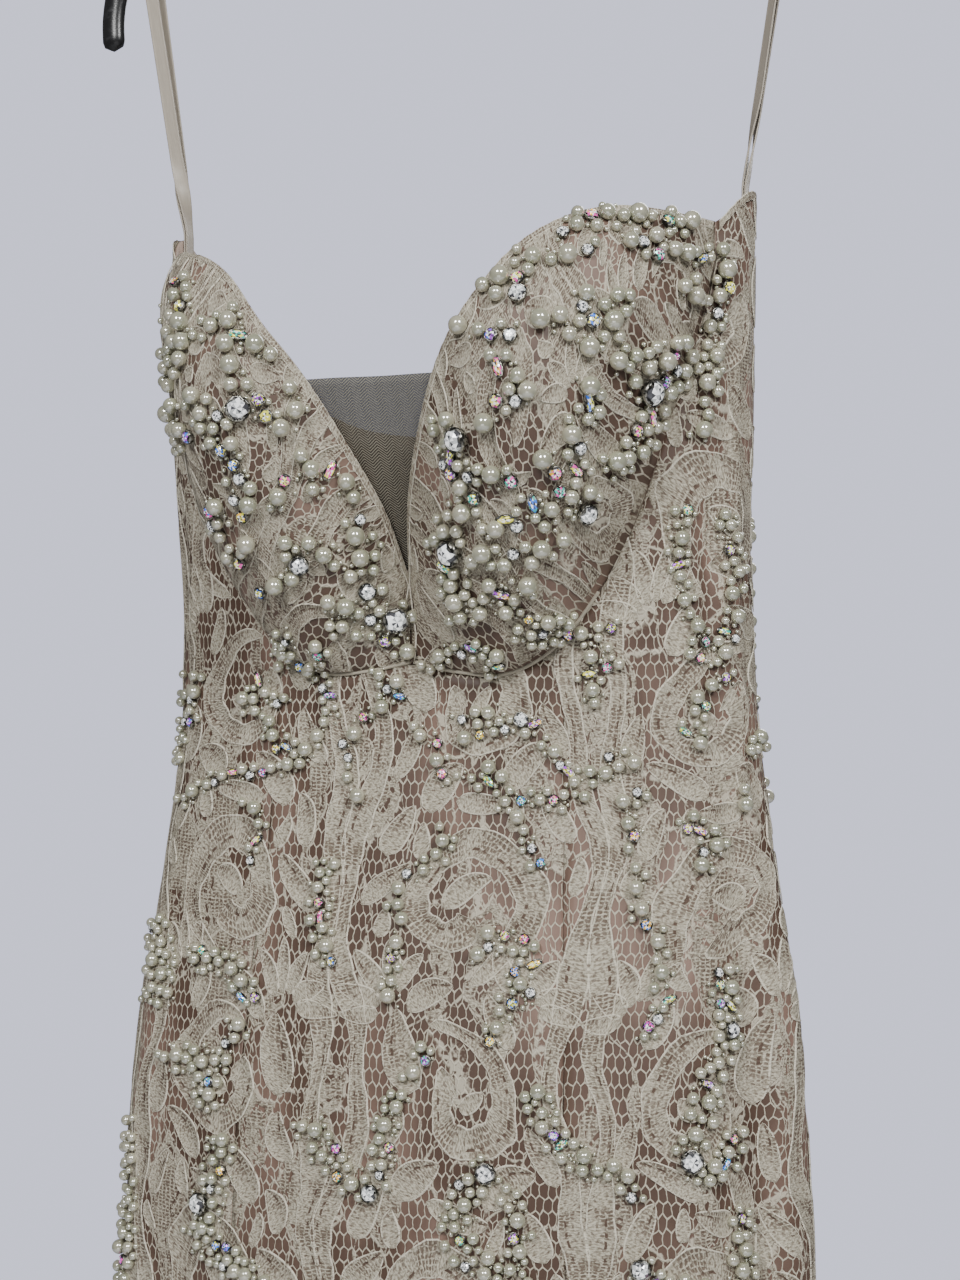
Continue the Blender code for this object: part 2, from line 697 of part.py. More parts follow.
def make_loop(side, early_turn, name, material):
    """A ribbon loop: up from inside the side seam, over the hanger's notch and down again.

    Its two strands turn edge on where they meet, and by early_turn on the way down to there.
    """
    half = RIBBON_THICKNESS / 2
    over_y = ARM_HALF_THICKNESS + SEAM_GAP + half
    over_z = ARM_HALF_HEIGHT + SEAM_GAP + half + RIBBON_PLAY
    inside_x = SECTIONS[0].half_width - PANEL_WALL - SEAM_GAP * 4 - half
    apart = half + SEAM_GAP / 2
    bottom_z = SIDE_TOP_Z - RIBBON_TUCK
    before, after = ARM[NOTCH_INDEX - 1], ARM[NOTCH_INDEX + 1]
    arm_along = Vector((after.across - before.across, 0, after.height - before.height)).normalized()
    arm_up = Vector((-arm_along.z, 0, arm_along.x))
    notch = Vector((NOTCH.across, 0, NOTCH.height))
    centres, widths = [], []
    steps = RIBBON_STEPS

    def strand(direction, share):
        """share runs from 0 at the notch to 1 at the sewn end; direction is the strand's side in Y."""
        z = NOTCH.height + (bottom_z - NOTCH.height) * share
        late = ramp(share, RIBBON_TURNS, RIBBON_MEETS)
        turn = early_turn * ramp(share, 0.05, 0.28) * (1 - late) + math.pi / 2 * late
        lean = math.pi / 2 * late
        middle_x = NOTCH.across + (inside_x - apart - NOTCH.across) * min(share / RIBBON_MEETS, 1.0)
        spread = over_y + (apart - over_y) * min(share / RIBBON_MEETS, 1.0)
        offset = Vector((math.sin(lean), math.cos(lean), 0)) * spread * direction
        width = Vector((math.cos(turn), -math.sin(turn), 0))
        return Vector((middle_x, 0, z)) + offset, arm_along.lerp(width, ramp(share, 0, 0.2)).normalized()

    for k in range(steps + 1):
        point, width = strand(-1, 1 - k / steps)
        centres.append(point)
        widths.append(width)
    for k in range(1, 8):
        turn = math.pi * k / 8
        centres.append(notch + Vector((0, -over_y * math.cos(turn), 0)) + arm_up * over_z * math.sin(turn))
        widths.append(arm_along)
    for k in range(steps + 1):
        point, width = strand(1, k / steps)
        centres.append(point)
        widths.append(width)
    points, faces = [], []
    for i, p in enumerate(centres):
        along = (centres[min(i + 1, len(centres) - 1)] - centres[max(i - 1, 0)]).normalized()
        out = along.cross(widths[i]).normalized()
        for w, t in ((-1, -1), (1, -1), (1, 1), (-1, 1)):
            corner = p + widths[i] * (w * RIBBON_WIDTH / 2) + out * (t * half)
            points.append(Vector((side * corner.x, corner.y, corner.z)))
    for i in range(len(centres) - 1):
        for s in range(4):
            a, b = i * 4 + s, i * 4 + (s + 1) % 4
            if s == 2:
                faces.extend([(a, b, a + 4), (b, b + 4, a + 4)])
            else:
                faces.extend([(a, b, b + 4), (a, b + 4, a + 4)])
    end = (len(centres) - 1) * 4
    faces.extend([(0, 2, 1), (0, 3, 2), (end, end + 1, end + 2), (end, end + 2, end + 3)])
    if side < 0:
        faces = [f[::-1] for f in faces]
    make_object(name, points, faces, material)


def facing_out(item):
    """Turns a body's faces round where they point inwards."""
    mesh = item.data
    volume = 0.0
    for face in mesh.polygons:
        corners = [mesh.vertices[i].co for i in face.vertices]
        for b, c in zip(corners[1:], corners[2:]):
            volume += corners[0].dot(b.cross(c)) / 6
    if volume < 0:
        mesh.flip_normals()


def main():
    clean_scene()
    lace = coloured("lace_on_lining", (0.72, 0.66, 0.56), 0.85)
    sheer = coloured("sheer_net", (0.45, 0.40, 0.35), 0.9)
    ribbon = coloured("satin_ribbon", (0.62, 0.57, 0.50), 0.45)
    tape = coloured("zip_tape", (0.60, 0.50, 0.43), 0.8)
    plastic = coloured("black_plastic", (0.015, 0.015, 0.017), 0.3)
    stations = seam_stations()
    edge = spaced(curve_points([(p.across, p.drop) for p in NECKLINE]), len(stations) - 1)
    lines = body_spray_lines()
    make_cups(stations, edge, lace)
    make_front_centre(stations, lines, lace)
    make_side_fronts(stations, lines, lace)
    make_backs(lines, lace)
    make_net(stations, edge, sheer)
    make_zip(tape)
    make_hanger(plastic)
    make_loop(1, math.radians(50), "loop_left", ribbon)
    make_loop(-1, 0.0, "loop_right", ribbon)
    for item in BUILT:
        facing_out(item)


main()
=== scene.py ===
"""The look of a strapless lace gown that hangs by two ribbon loops from a plain moulded hanger.

Metres, +Z up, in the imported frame: the front faces -Y and the wearer's left is +X. A drop is a
height counted down from the top of the side seams, and an angle runs round the gown from the
centre front (0) through the left side seam (90 degrees) to the centre back (180 degrees).
"""

import logging
import math
from dataclasses import dataclass, field
from enum import Enum
from typing import Callable, NamedTuple, Sequence

import bpy
import numpy as np
from bpy.types import Material, NodeSocket, Object
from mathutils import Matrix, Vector
from mathutils.bvhtree import BVHTree
from numpy import ndarray as Array


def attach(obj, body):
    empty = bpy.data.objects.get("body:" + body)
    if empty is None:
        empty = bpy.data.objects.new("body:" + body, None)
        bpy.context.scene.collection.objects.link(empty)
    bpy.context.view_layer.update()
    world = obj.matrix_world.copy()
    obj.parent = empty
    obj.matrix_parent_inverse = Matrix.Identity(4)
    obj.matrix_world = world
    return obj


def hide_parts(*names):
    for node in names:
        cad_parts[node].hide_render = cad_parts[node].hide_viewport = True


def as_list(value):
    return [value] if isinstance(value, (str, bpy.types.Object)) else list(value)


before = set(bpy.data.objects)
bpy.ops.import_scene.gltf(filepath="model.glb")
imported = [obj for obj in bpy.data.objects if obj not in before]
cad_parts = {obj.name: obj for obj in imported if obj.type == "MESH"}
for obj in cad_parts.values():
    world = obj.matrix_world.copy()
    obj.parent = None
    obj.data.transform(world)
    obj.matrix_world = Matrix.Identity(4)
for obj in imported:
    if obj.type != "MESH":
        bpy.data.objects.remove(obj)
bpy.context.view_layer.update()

log = logging.getLogger("gown")

Grid = tuple[Array, Array]
Finder = Callable[[float, float], Grid | None]
Colour = tuple[float, float, float]

# Driving sizes, as in the part's source
SIDE_TOP_Z = -0.264
GOWN_LENGTH = 1.30
PANEL_WALL = 0.0020
CUP_WALL = 0.0030
SEAM_GAP = 0.0003
ROUNDNESS = 2.3
CUP_ROUNDNESS = 2.2
CUP_SAG = 0.006
BACK_DIP = 0.101
BACK_DIP_POWER = 3.2
WAVE_COUNT = 9
NET_TOP_DROP = 0.0905
NET_LOW_DROP = 0.1740
NET_TUCK = 0.0045
CENTRE_STATIONS = 6
SIDE_STATIONS = 13
HOOK_INNER_RADIUS = 0.019
HOOK_WIRE_RADIUS = 0.0045
ARM_HALF_THICKNESS = 0.0040
ARM_HALF_HEIGHT = 0.0062
RIBBON_WIDTH = 0.0072
RIBBON_THICKNESS = 0.0009
RIBBON_TUCK = 0.018
RIBBON_PLAY = 0.0006
RIBBON_TURNS = 0.62
RIBBON_MEETS = 0.88
SHEER_THICKNESS = 0.0004
TOP_HALF_WIDTH = 0.148
METRE_PER_DEGREE = 0.0024
BACK_SEAM_ANGLE = 0.004
EDGE_TUCK = 0.0001
FLOOR_BELOW_HEM = 0.036
HEXAGON = 0.866

# How the beads are sewn on
BEAD_SEAT = 0.88
CUP_BEADS_END = 0.2
TURNED_FROM_DROP = 0.235
TURNED_FROM_Y = -0.012
SAME_SIDE = 0.3
TRIES_EACH = 6
RIGHT_CUP_ENDS_X = 430
RIGHT_CUP_CLOSENESS = 2.2
LEFT_CUP_CLOSENESS = 1.6
BODY_CLOSENESS = 2.6
BODY_BEAD_SCALE = 0.81
BACK_BEAD_SCALE = 0.9

# The photograph's view: its size, where the camera stands and how far it is turned
PHOTO_WIDTH = 960
PHOTO_HEIGHT = 1280
FOCAL_PIXELS = 1800.0
CAMERA_PLACE = Vector((0.3134, -0.8202, -0.470))
CAMERA_TURN = math.radians(20)
SENSOR_MM = 36.0
METRE_PER_PIXEL = 0.45 / 1000
LAMPS_FACE = Vector((0, 0, -0.6))

FINENESS = 8
COMMON_SLOT = "beaded_lace"
SIDES = ((1, "left"), (-1, "right"))
WHITE = np.ones(4)


def table(kind: type, *rows: tuple) -> tuple:
    """The rows of a table, each with named columns."""
    return tuple(kind(*row) for row in rows)


class Section(NamedTuple):
    """The gown's half width and its depths in front and behind at one drop."""

    drop: float
    half_width: float
    front_depth: float
    back_depth: float


SECTIONS = table(
    Section,
    (0.000, 0.1490, 0.050, 0.040), (0.050, 0.1485, 0.055, 0.046), (0.110, 0.1475, 0.057, 0.051),
    (0.166, 0.1465, 0.054, 0.051), (0.236, 0.1495, 0.050, 0.052), (0.286, 0.1545, 0.054, 0.060),
    (0.336, 0.1615, 0.063, 0.071), (0.386, 0.1675, 0.073, 0.080), (0.436, 0.1710, 0.080, 0.086),
    (0.526, 0.1755, 0.084, 0.090), (0.700, 0.1790, 0.086, 0.092), (0.850, 0.1800, 0.088, 0.093),
    (1.000, 0.1920, 0.100, 0.106), (1.150, 0.2150, 0.124, 0.132), (1.300, 0.2450, 0.152, 0.162),
)


class SeamPoint(NamedTuple):
    """A point of a seam or free edge, as a distance across and a drop."""

    across: float
    drop: float


CUP_SEAM = table(
    SeamPoint,
    (0.0000, 0.2160), (0.0220, 0.2205), (0.0450, 0.2215), (0.0660, 0.2110), (0.0830, 0.1915),
    (0.1010, 0.1605), (0.1160, 0.1180), (0.1280, 0.0770), (0.1345, 0.0480), (0.1365, 0.0340),
)
NECKLINE = table(
    SeamPoint,
    (0.0000, 0.1790), (0.0060, 0.1460), (0.0190, 0.1130), (0.0330, 0.0840), (0.0480, 0.0620),
    (0.0680, 0.0375), (0.0880, 0.0240), (0.1070, 0.0185), (0.1220, 0.0182), (0.1363, 0.0180),
)
PRINCESS_SEAM = table(
    SeamPoint,
    (0.0700, 0.2070), (0.0730, 0.3000), (0.0785, 0.4000), (0.0830, 0.5500), (0.0860, 0.8500),
    (0.1180, 1.3000),
)


class CupForm(NamedTuple):
    """How far a cup stands off the body, at its free edge and as extra fullness below it."""

    along: float
    edge_lift: float
    fullness: float


CUP_FORM = table(
    CupForm,
    (0.00, 0.0000, 0.000), (0.12, 0.0120, 0.003), (0.28, 0.0310, 0.008), (0.42, 0.0450, 0.012),
    (0.55, 0.0520, 0.014), (0.70, 0.0470, 0.013), (0.85, 0.0330, 0.010), (0.95, 0.0140, 0.005),
    (1.00, 0.0000, 0.000),
)


class Fold(NamedTuple):
    """A long soft ridge or trough down the skirt."""

    angle_deg: float
    starts: float
    full: float
    half_width_deg: float
    height: float


FOLDS = table(
    Fold,
    (-84, 0.10, 0.24, 24, -0.0075), (48, 0.24, 0.40, 9, 0.0050), (66, 0.22, 0.36, 8, -0.0045),
    (82, 0.22, 0.38, 9, 0.0060), (104, 0.24, 0.40, 9, -0.0050), (124, 0.26, 0.42, 10, 0.0060),
    (150, 0.30, 0.46, 11, -0.0050), (-34, 0.34, 0.50, 10, -0.0030), (-56, 0.26, 0.42, 10, 0.0040),
    (-78, 0.24, 0.40, 9, -0.0045), (-98, 0.24, 0.40, 9, 0.0045), (-122, 0.26, 0.42, 10, -0.0050),
    (-146, 0.30, 0.46, 11, 0.0060), (172, 0.40, 0.60, 11, 0.0050), (12, 0.46, 0.66, 10, 0.0035),
)


class Wave(NamedTuple):
    """The height of the flare's waves at one drop."""

    drop: float
    height: float


HEM_WAVES = table(
    Wave,
    (0.62, 0.0000), (0.78, 0.0015), (0.92, 0.0060), (1.08, 0.0130), (1.30, 0.0240),
)


class Crease(NamedTuple):
    """A fine crease between two places, with its reach and height in millimetres."""

    angle_deg: float
    drop: float
    end_angle: float
    end_drop: float
    reach_mm: float
    height_mm: float


CREASES = table(
    Crease,
    (71, 0.10, 60, 0.24, 7, -1.6), (78, 0.12, 72, 0.30, 6, 1.2), (85, 0.16, 80, 0.34, 6, -1.3),
    (60, 0.20, 54, 0.36, 7, 1.2), (52, 0.28, 57, 0.50, 6, -1.3), (74, 0.30, 75, 0.62, 7, 1.5),
    (90, 0.34, 92, 0.70, 7, -1.4), (62, 0.44, 61, 0.74, 6, 1.2), (-66, 0.14, -60, 0.28, 7, -1.3),
    (-74, 0.18, -70, 0.36, 6, 1.1), (-48, 0.30, -52, 0.52, 7, -1.1), (-64, 0.36, -66, 0.70, 7, 1.3),
    (-86, 0.28, -88, 0.60, 7, -1.2), (-12, 0.235, 2, 0.250, 6, -1.0), (10, 0.240, 24, 0.262, 6, 1.0),
    (112, 0.10, 118, 0.30, 8, 1.3), (134, 0.14, 130, 0.34, 8, -1.4), (160, 0.16, 156, 0.40, 8, 1.2),
    (-112, 0.12, -116, 0.30, 8, -1.3), (-136, 0.14, -130, 0.36, 8, 1.3), (-162, 0.16, -158, 0.38, 8, -1.2),
    (142, 0.40, 138, 0.80, 8, 1.4), (-110, 0.38, -106, 0.78, 8, 1.3), (-154, 0.44, -160, 0.86, 8, -1.3),
)


class ArmPoint(NamedTuple):
    """A point of the hanger's arm."""

    across: float
    height: float


ARM = table(
    ArmPoint,
    (0.000, -0.0680), (0.040, -0.0710), (0.085, -0.0820), (0.125, -0.0965), (0.150, -0.1070),
    (0.1680, -0.1135), (0.1790, -0.1190), (0.1865, -0.1310), (0.1893, -0.1460), (0.1888, -0.1620),
)
NOTCH_INDEX = 5


class MotifKind(Enum):
    """The ordinary shapes of corded lace."""

    SCROLL = "scroll"
    LEAF = "leaf"
    BAND = "band"
    FAN = "fan"


class Motif(NamedTuple):
    """One shape in the lace's repeat, in millimetres and degrees."""

    kind: MotifKind
    x: float
    y: float
    size: float
    width: float
    turn: float
    bend: float


REPEAT_WIDTH = 0.118
REPEAT_HEIGHT = 0.176
REPEAT_AT_S = -0.030
REPEAT_AT_DROP = 0.450
REPEAT = (
    Motif(MotifKind.SCROLL, 58, 122, 36, 19, -70, 1.05),
    Motif(MotifKind.SCROLL, 62, 38, 30, 16, 115, -0.95),
    Motif(MotifKind.BAND, 7, 0, 4.0, 13.0, 0, 1.0),
    Motif(MotifKind.BAND, 111, 0, 3.5, 12.0, 0, -1.0),
    Motif(MotifKind.FAN, 28, 76, 25, 9, 118, 62),
    Motif(MotifKind.FAN, 92, 80, 24, 9, 60, 58),
    Motif(MotifKind.LEAF, 60, 168, 26, 12, 0, 30),
    Motif(MotifKind.LEAF, 24, 160, 24, 11, 60, -30),
    Motif(MotifKind.LEAF, 96, 162, 24, 11, 120, 30),
    Motif(MotifKind.LEAF, 24, 20, 26, 12, 70, 30),
    Motif(MotifKind.LEAF, 99, 24, 26, 12, 105, -30),
)


class Spray(NamedTuple):
    """A spray of beads: a bend through three points of the photograph, and its half width, in pixels."""

    x: float
    y: float
    mid_x: float
    mid_y: float
    end_x: float
    end_y: float
    half_width: float


CUP_SPRAYS = table(
    Spray,
    (554, 240, 600, 203, 688, 230, 9), (619, 240, 660, 250, 709, 256, 9), (723, 246, 716, 300, 709, 340, 9),
    (709, 340, 712, 390, 698, 440, 9), (530, 275, 505, 275, 481, 300, 10), (515, 262, 540, 258, 596, 252, 8),
    (678, 280, 694, 290, 690, 300, 12), (582, 292, 584, 330, 596, 352, 11),
    (623, 292, 606, 312, 610, 340, 12), (458, 324, 490, 340, 522, 332, 8), (530, 313, 560, 330, 606, 338, 9),
    (495, 353, 516, 372, 524, 404, 11), (508, 397, 492, 415, 483, 424, 8),
    (588, 375, 592, 396, 582, 420, 10), (610, 360, 640, 362, 686, 345, 13),
    (629, 382, 668, 392, 688, 362, 13), (645, 393, 652, 420, 636, 440, 14),
    (563, 420, 580, 436, 575, 470, 11), (541, 451, 552, 474, 590, 474, 10),
    (600, 467, 622, 462, 640, 436, 11), (588, 484, 566, 500, 522, 506, 12),
    (534, 514, 560, 520, 590, 500, 9), (448, 418, 440, 450, 462, 470, 12),
    (460, 469, 486, 482, 510, 472, 10), (475, 483, 470, 505, 446, 531, 12),
    (477, 528, 500, 528, 522, 518, 10), (446, 531, 450, 560, 460, 606, 14),
    (479, 551, 500, 566, 567, 536, 10), (487, 586, 506, 602, 528, 580, 11),
    (452, 615, 480, 608, 514, 603, 9), (150, 280, 152, 310, 158, 345, 8), (181, 278, 186, 305, 181, 325, 10),
    (188, 327, 176, 348, 163, 384, 12), (199, 338, 214, 328, 240, 313, 9), (247, 328, 232, 340, 225, 352, 9),
    (240, 347, 268, 346, 266, 362, 8), (228, 371, 244, 384, 260, 408, 10),
    (193, 395, 204, 412, 230, 424, 10), (167, 404, 174, 424, 190, 446, 10),
    (206, 416, 208, 440, 234, 454, 10), (259, 408, 280, 420, 288, 436, 9), (290, 383, 300, 404, 298, 412, 7),
    (224, 456, 246, 456, 236, 484, 11), (247, 484, 240, 500, 250, 515, 10),
    (214, 496, 222, 510, 222, 536, 8), (263, 503, 284, 496, 288, 476, 10), (298, 453, 314, 476, 316, 498, 9),
    (325, 468, 345, 484, 354, 498, 8), (355, 515, 362, 530, 356, 545, 11), (232, 562, 244, 548, 255, 536, 9),
    (284, 547, 310, 550, 340, 560, 10), (341, 570, 358, 565, 376, 556, 10),
    (263, 591, 280, 582, 292, 574, 8), (327, 593, 340, 604, 352, 612, 9), (359, 592, 372, 590, 378, 598, 9),
    (357, 603, 380, 628, 414, 614, 12), (386, 632, 396, 644, 410, 650, 8), (370, 546, 372, 556, 369, 570, 8),
)
BODY_SPRAYS = table(
    Spray,
    (177, 618, 174, 650, 180, 676, 8), (199, 676, 196, 692, 186, 704, 7), (197, 711, 180, 722, 178, 764, 7),
    (242, 699, 262, 690, 292, 705, 7), (274, 636, 302, 640, 278, 664, 10), (258, 680, 268, 682, 250, 716, 7),
    (272, 718, 266, 738, 300, 752, 8), (310, 750, 296, 774, 240, 772, 7), (241, 772, 206, 780, 182, 803, 7),
    (242, 803, 262, 800, 262, 829, 6), (262, 829, 250, 842, 256, 860, 6), (300, 664, 326, 672, 330, 700, 7),
    (334, 700, 332, 726, 310, 750, 6), (376, 665, 390, 684, 384, 712, 7), (369, 707, 362, 728, 346, 746, 6),
    (352, 756, 346, 776, 360, 800, 5), (423, 725, 412, 742, 440, 742, 7), (445, 752, 436, 766, 452, 782, 8),
    (325, 604, 345, 604, 366, 612, 9), (329, 624, 352, 622, 386, 636, 10), (316, 642, 310, 656, 330, 654, 7),
    (386, 633, 404, 636, 400, 655, 8), (439, 650, 456, 650, 426, 670, 8), (398, 681, 402, 690, 400, 698, 5),
    (467, 606, 495, 612, 518, 602, 9), (513, 620, 545, 612, 568, 622, 8), (515, 630, 540, 636, 572, 636, 9),
    (572, 636, 596, 640, 618, 620, 9), (456, 650, 480, 648, 502, 657, 9), (486, 660, 504, 656, 492, 674, 8),
    (587, 652, 604, 654, 618, 668, 11), (584, 670, 596, 680, 596, 704, 9), (458, 725, 476, 712, 498, 714, 9),
    (489, 722, 512, 730, 538, 722, 9), (463, 736, 474, 734, 482, 730, 5), (541, 744, 556, 750, 568, 774, 7),
    (568, 776, 596, 778, 620, 768, 10), (606, 758, 622, 748, 636, 764, 8), (586, 788, 570, 790, 556, 806, 9),
    (556, 800, 530, 796, 498, 800, 9), (506, 806, 524, 812, 526, 832, 7), (526, 836, 528, 848, 542, 872, 7),
    (493, 758, 484, 768, 492, 772, 7), (458, 774, 480, 786, 504, 778, 7), (650, 790, 630, 800, 622, 804, 7),
    (623, 818, 640, 832, 632, 852, 8), (692, 610, 686, 626, 704, 626, 8), (733, 612, 726, 624, 724, 632, 7),
    (690, 640, 714, 636, 736, 642, 8), (687, 655, 708, 656, 728, 656, 8), (729, 668, 724, 690, 706, 684, 8),
    (700, 696, 688, 716, 708, 716, 9), (682, 730, 700, 726, 700, 748, 9), (756, 732, 748, 744, 750, 758, 5),
    (745, 784, 742, 796, 743, 808, 4), (684, 815, 692, 834, 724, 846, 10), (703, 850, 698, 866, 702, 874, 8),
    (684, 508, 670, 540, 684, 604, 9), (722, 510, 738, 570, 728, 600, 9), (636, 868, 646, 884, 632, 894, 7),
    (650, 902, 630, 914, 650, 922, 8), (664, 930, 648, 942, 668, 952, 8), (655, 960, 672, 972, 648, 986, 9),
    (669, 996, 660, 1012, 642, 1044, 8), (437, 834, 456, 838, 440, 858, 8),
    (432, 862, 416, 870, 400, 888, 6), (388, 904, 404, 908, 402, 924, 8), (404, 936, 390, 950, 394, 970, 7),
    (382, 976, 398, 988, 390, 1002, 8), (483, 937, 498, 930, 512, 936, 8), (498, 948, 520, 952, 532, 942, 7),
    (473, 962, 484, 952, 494, 948, 5), (535, 961, 520, 968, 514, 986, 9),
    (530, 990, 520, 1004, 500, 1006, 9), (510, 1016, 492, 1022, 490, 1048, 8),
    (430, 1048, 414, 1060, 408, 1080, 8), (404, 1094, 380, 1120, 384, 1186, 10),
    (332, 858, 312, 904, 328, 968, 10), (160, 918, 168, 970, 158, 1004, 12),
    (192, 962, 244, 944, 248, 1004, 12), (164, 1062, 212, 1034, 212, 1112, 13),
    (242, 1018, 226, 1064, 202, 1084, 10), (720, 966, 722, 1010, 726, 1046, 12),
    (720, 1050, 702, 1100, 688, 1154, 13), (688, 1162, 724, 1184, 738, 1128, 12),
    (308, 1118, 332, 1176, 374, 1192, 13), (536, 1086, 546, 1150, 592, 1166, 12),
    (592, 1166, 628, 1164, 632, 1200, 10), (226, 1138, 212, 1190, 200, 1234, 13),
    (200, 1234, 236, 1262, 262, 1292, 13), (494, 1168, 446, 1200, 462, 1244, 15),
    (462, 1250, 500, 1276, 532, 1302, 15), (500, 1190, 534, 1222, 510, 1262, 11),
    (124, 1118, 132, 1200, 122, 1284, 10), (640, 1262, 656, 1296, 706, 1290, 13),
    (742, 1208, 734, 1260, 746, 1290, 11), (298, 1330, 352, 1300, 392, 1352, 12),
    (560, 1330, 600, 1362, 588, 1424, 12), (424, 1400, 392, 1452, 420, 1516, 12),
    (230, 1372, 204, 1430, 232, 1484, 12), (690, 1372, 724, 1432, 700, 1498, 12),
    (520, 1480, 552, 1540, 516, 1596, 11), (312, 1500, 284, 1560, 316, 1622, 11),
    (630, 1560, 664, 1610, 640, 1680, 11), (430, 1640, 400, 1700, 428, 1760, 10),
)


class SeatSpray(NamedTuple):
    """A spray of beads on a side that the photograph doesn't show: angles, drops and half width."""

    angle_deg: float
    drop: float
    mid_angle: float
    mid_drop: float
    end_angle: float
    end_drop: float
    half_width: float


BACK_SPRAYS = table(
    SeatSpray,
    (122, 0.070, 136, 0.108, 152, 0.128, 0.009), (128, 0.118, 142, 0.160, 134, 0.214, 0.009),
    (158, 0.150, 170, 0.180, 160, 0.224, 0.008), (112, 0.150, 118, 0.200, 110, 0.250, 0.008),
    (150, 0.250, 166, 0.262, 172, 0.300, 0.008),
)


class StoneSeat(NamedTuple):
    """A large stone in the photograph: its place in pixels and its diameter in millimetres."""

    x: float
    y: float
    size_mm: float


CLEAR_STONES = table(
    StoneSeat,
    (240, 409, 11.0), (462, 439, 11.0), (455, 551, 11.5), (394, 619, 11.5), (645, 392, 12.0),
    (584, 512, 9.0), (300, 563, 9.0), (366, 590, 8.0), (519, 296, 8.0), (487, 1172, 9.0), (690, 1160, 10.0),
    (641, 1268, 9.0), (204, 1202, 10.0), (372, 1192, 8.0), (522, 720, 7.0), (728, 1030, 7.5),
)


def smooth(rows: Sequence[NamedTuple], places: str, values: str, at: Array) -> Array:
    """Reads smooth values between the rows of a table.

    Args:
        rows: The table, in the order of its places.
        places: The column that holds the places.
        values: The column that holds the values.
        at: The places to read at.

    Returns:
        The values there, held at the table's ends beyond them.
    """
    x = np.array([getattr(row, places) for row in rows])
    y = np.array([getattr(row, values) for row in rows])
    at = np.clip(np.asarray(at, dtype=float), x[0], x[-1])
    upper = np.clip(np.searchsorted(x, at, side="left"), 1, len(x) - 1)
    lower = upper - 1
    index = np.arange(len(x))
    before, after = np.maximum(index - 1, 0), np.minimum(index + 1, len(x) - 1)
    slope = (y[after] - y[before]) / (x[after] - x[before])
    span = x[upper] - x[lower]
    t = (at - x[lower]) / span
    return (
        y[lower] * (2 * t**3 - 3 * t**2 + 1)
        + y[upper] * (3 * t**2 - 2 * t**3)
        + span * (slope[lower] * (t**3 - 2 * t**2 + t) + slope[upper] * (t**3 - t**2))
    )


def ramp(value: Array | float, start: float, end: float) -> Array | float:
    """A smooth rise from 0 at start to 1 at end."""
    t = np.clip((value - start) / (end - start), 0.0, 1.0)
    return t * t * (3 - 2 * t)


def curve_through(points: Sequence[Sequence[float]], steps_each: int = 12) -> Array:
    """A smooth line through a few points.

    Args:
        points: The points, in order.
        steps_each: How many steps are made between two of them.

    Returns:
        The close points of the line, one row each.
    """
    p = np.array(points, dtype=float)
    p = np.vstack([2 * p[0] - p[1], p, 2 * p[-1] - p[-2]])
    t = np.arange(steps_each)[:, None] / steps_each
    parts = [
        0.5
        * (
            2 * p[i + 1]
            + (p[i + 2] - p[i]) * t
            + (2 * p[i] - 5 * p[i + 1] + 4 * p[i + 2] - p[i + 3]) * t**2
            + (3 * p[i + 1] - p[i] - 3 * p[i + 2] + p[i + 3]) * t**3
        )
        for i in range(len(p) - 3)
    ]
    return np.vstack([*parts, p[-2:-1]])


def columns_of(*values: Array | float) -> Array:
    """Values side by side along a new last axis, spread to one shape."""
    return np.stack(np.broadcast_arrays(*values), axis=-1)


def steps_of(line: Array) -> Array:
    """The lengths of a line's steps."""
    return np.linalg.norm(np.diff(line, axis=0), axis=1)


def reached_along(line: Array) -> Array:
    """How far along a line each of its points lies."""
    return np.concatenate([[0.0], np.cumsum(steps_of(line))])


def read_columns(at: Array, places: Array, values: Array) -> Array:
    """Reads each column of some values between their places, linearly."""
    return np.stack([np.interp(at, places, column) for column in values.T], axis=-1)


def spaced(line: Array, count: int) -> Array:
    """count + 1 points at equal distances along a line."""
    reached = reached_along(line)
    return read_columns(np.linspace(0.0, reached[-1], count + 1), reached, line)


def unit(vectors: Array) -> Array:
    """Vectors of length 1 in the same directions."""
    return vectors / np.maximum(np.linalg.norm(vectors, axis=-1, keepdims=True), 1e-12)


def paired(first: Array, second: Array) -> Array:
    """Two values for each point of a grid, as rows."""
    return columns_of(first, second).reshape(-1, 2)


def bend(start: Sequence[float], middle: Sequence[float], end: Sequence[float], t: Array) -> Array:
    """Points of one smooth bend.

    Args:
        start: Where it starts.
        middle: The point that pulls it sideways.
        end: Where it ends.
        t: The shares of the way along.

    Returns:
        The points, one row each.
    """
    a, b, c = (np.asarray(p, dtype=float) for p in (start, middle, end))
    t = np.asarray(t, dtype=float)[:, None]
    return a * (1 - t) ** 2 + b * 2 * t * (1 - t) + c * t**2


class Cloth:
    """A part of the gown's outside that can be laid flat: u and v are its own coordinates."""

    step: tuple[float, float] = (0.01, 0.002)

    def point(self, u: Array, v: Array) -> Array:
        """The outside of the cloth at a place."""
        raise NotImplementedError

    def laid(self, x: Array, y: Array) -> tuple[Array, Array, Array]:
        """Where flat lace lies on the cloth: u, v and whether it is on the cloth at all."""
        raise NotImplementedError

    def flat(self, u: Array, v: Array) -> Array:
        """The flat place, in metres, of a place on the cloth."""
        raise NotImplementedError

    def normal(self, u: Array, v: Array) -> Array:
        """The direction out of the cloth.

        Args:
            u: The places' first coordinates.
            v: Their second.

        Returns:
            Directions of length 1.
        """
        du, dv = self.step
        along = self.point(u + du, v) - self.point(u - du, v)
        down = self.point(u, v + dv) - self.point(u, v - dv)
        return unit(np.cross(down, along))


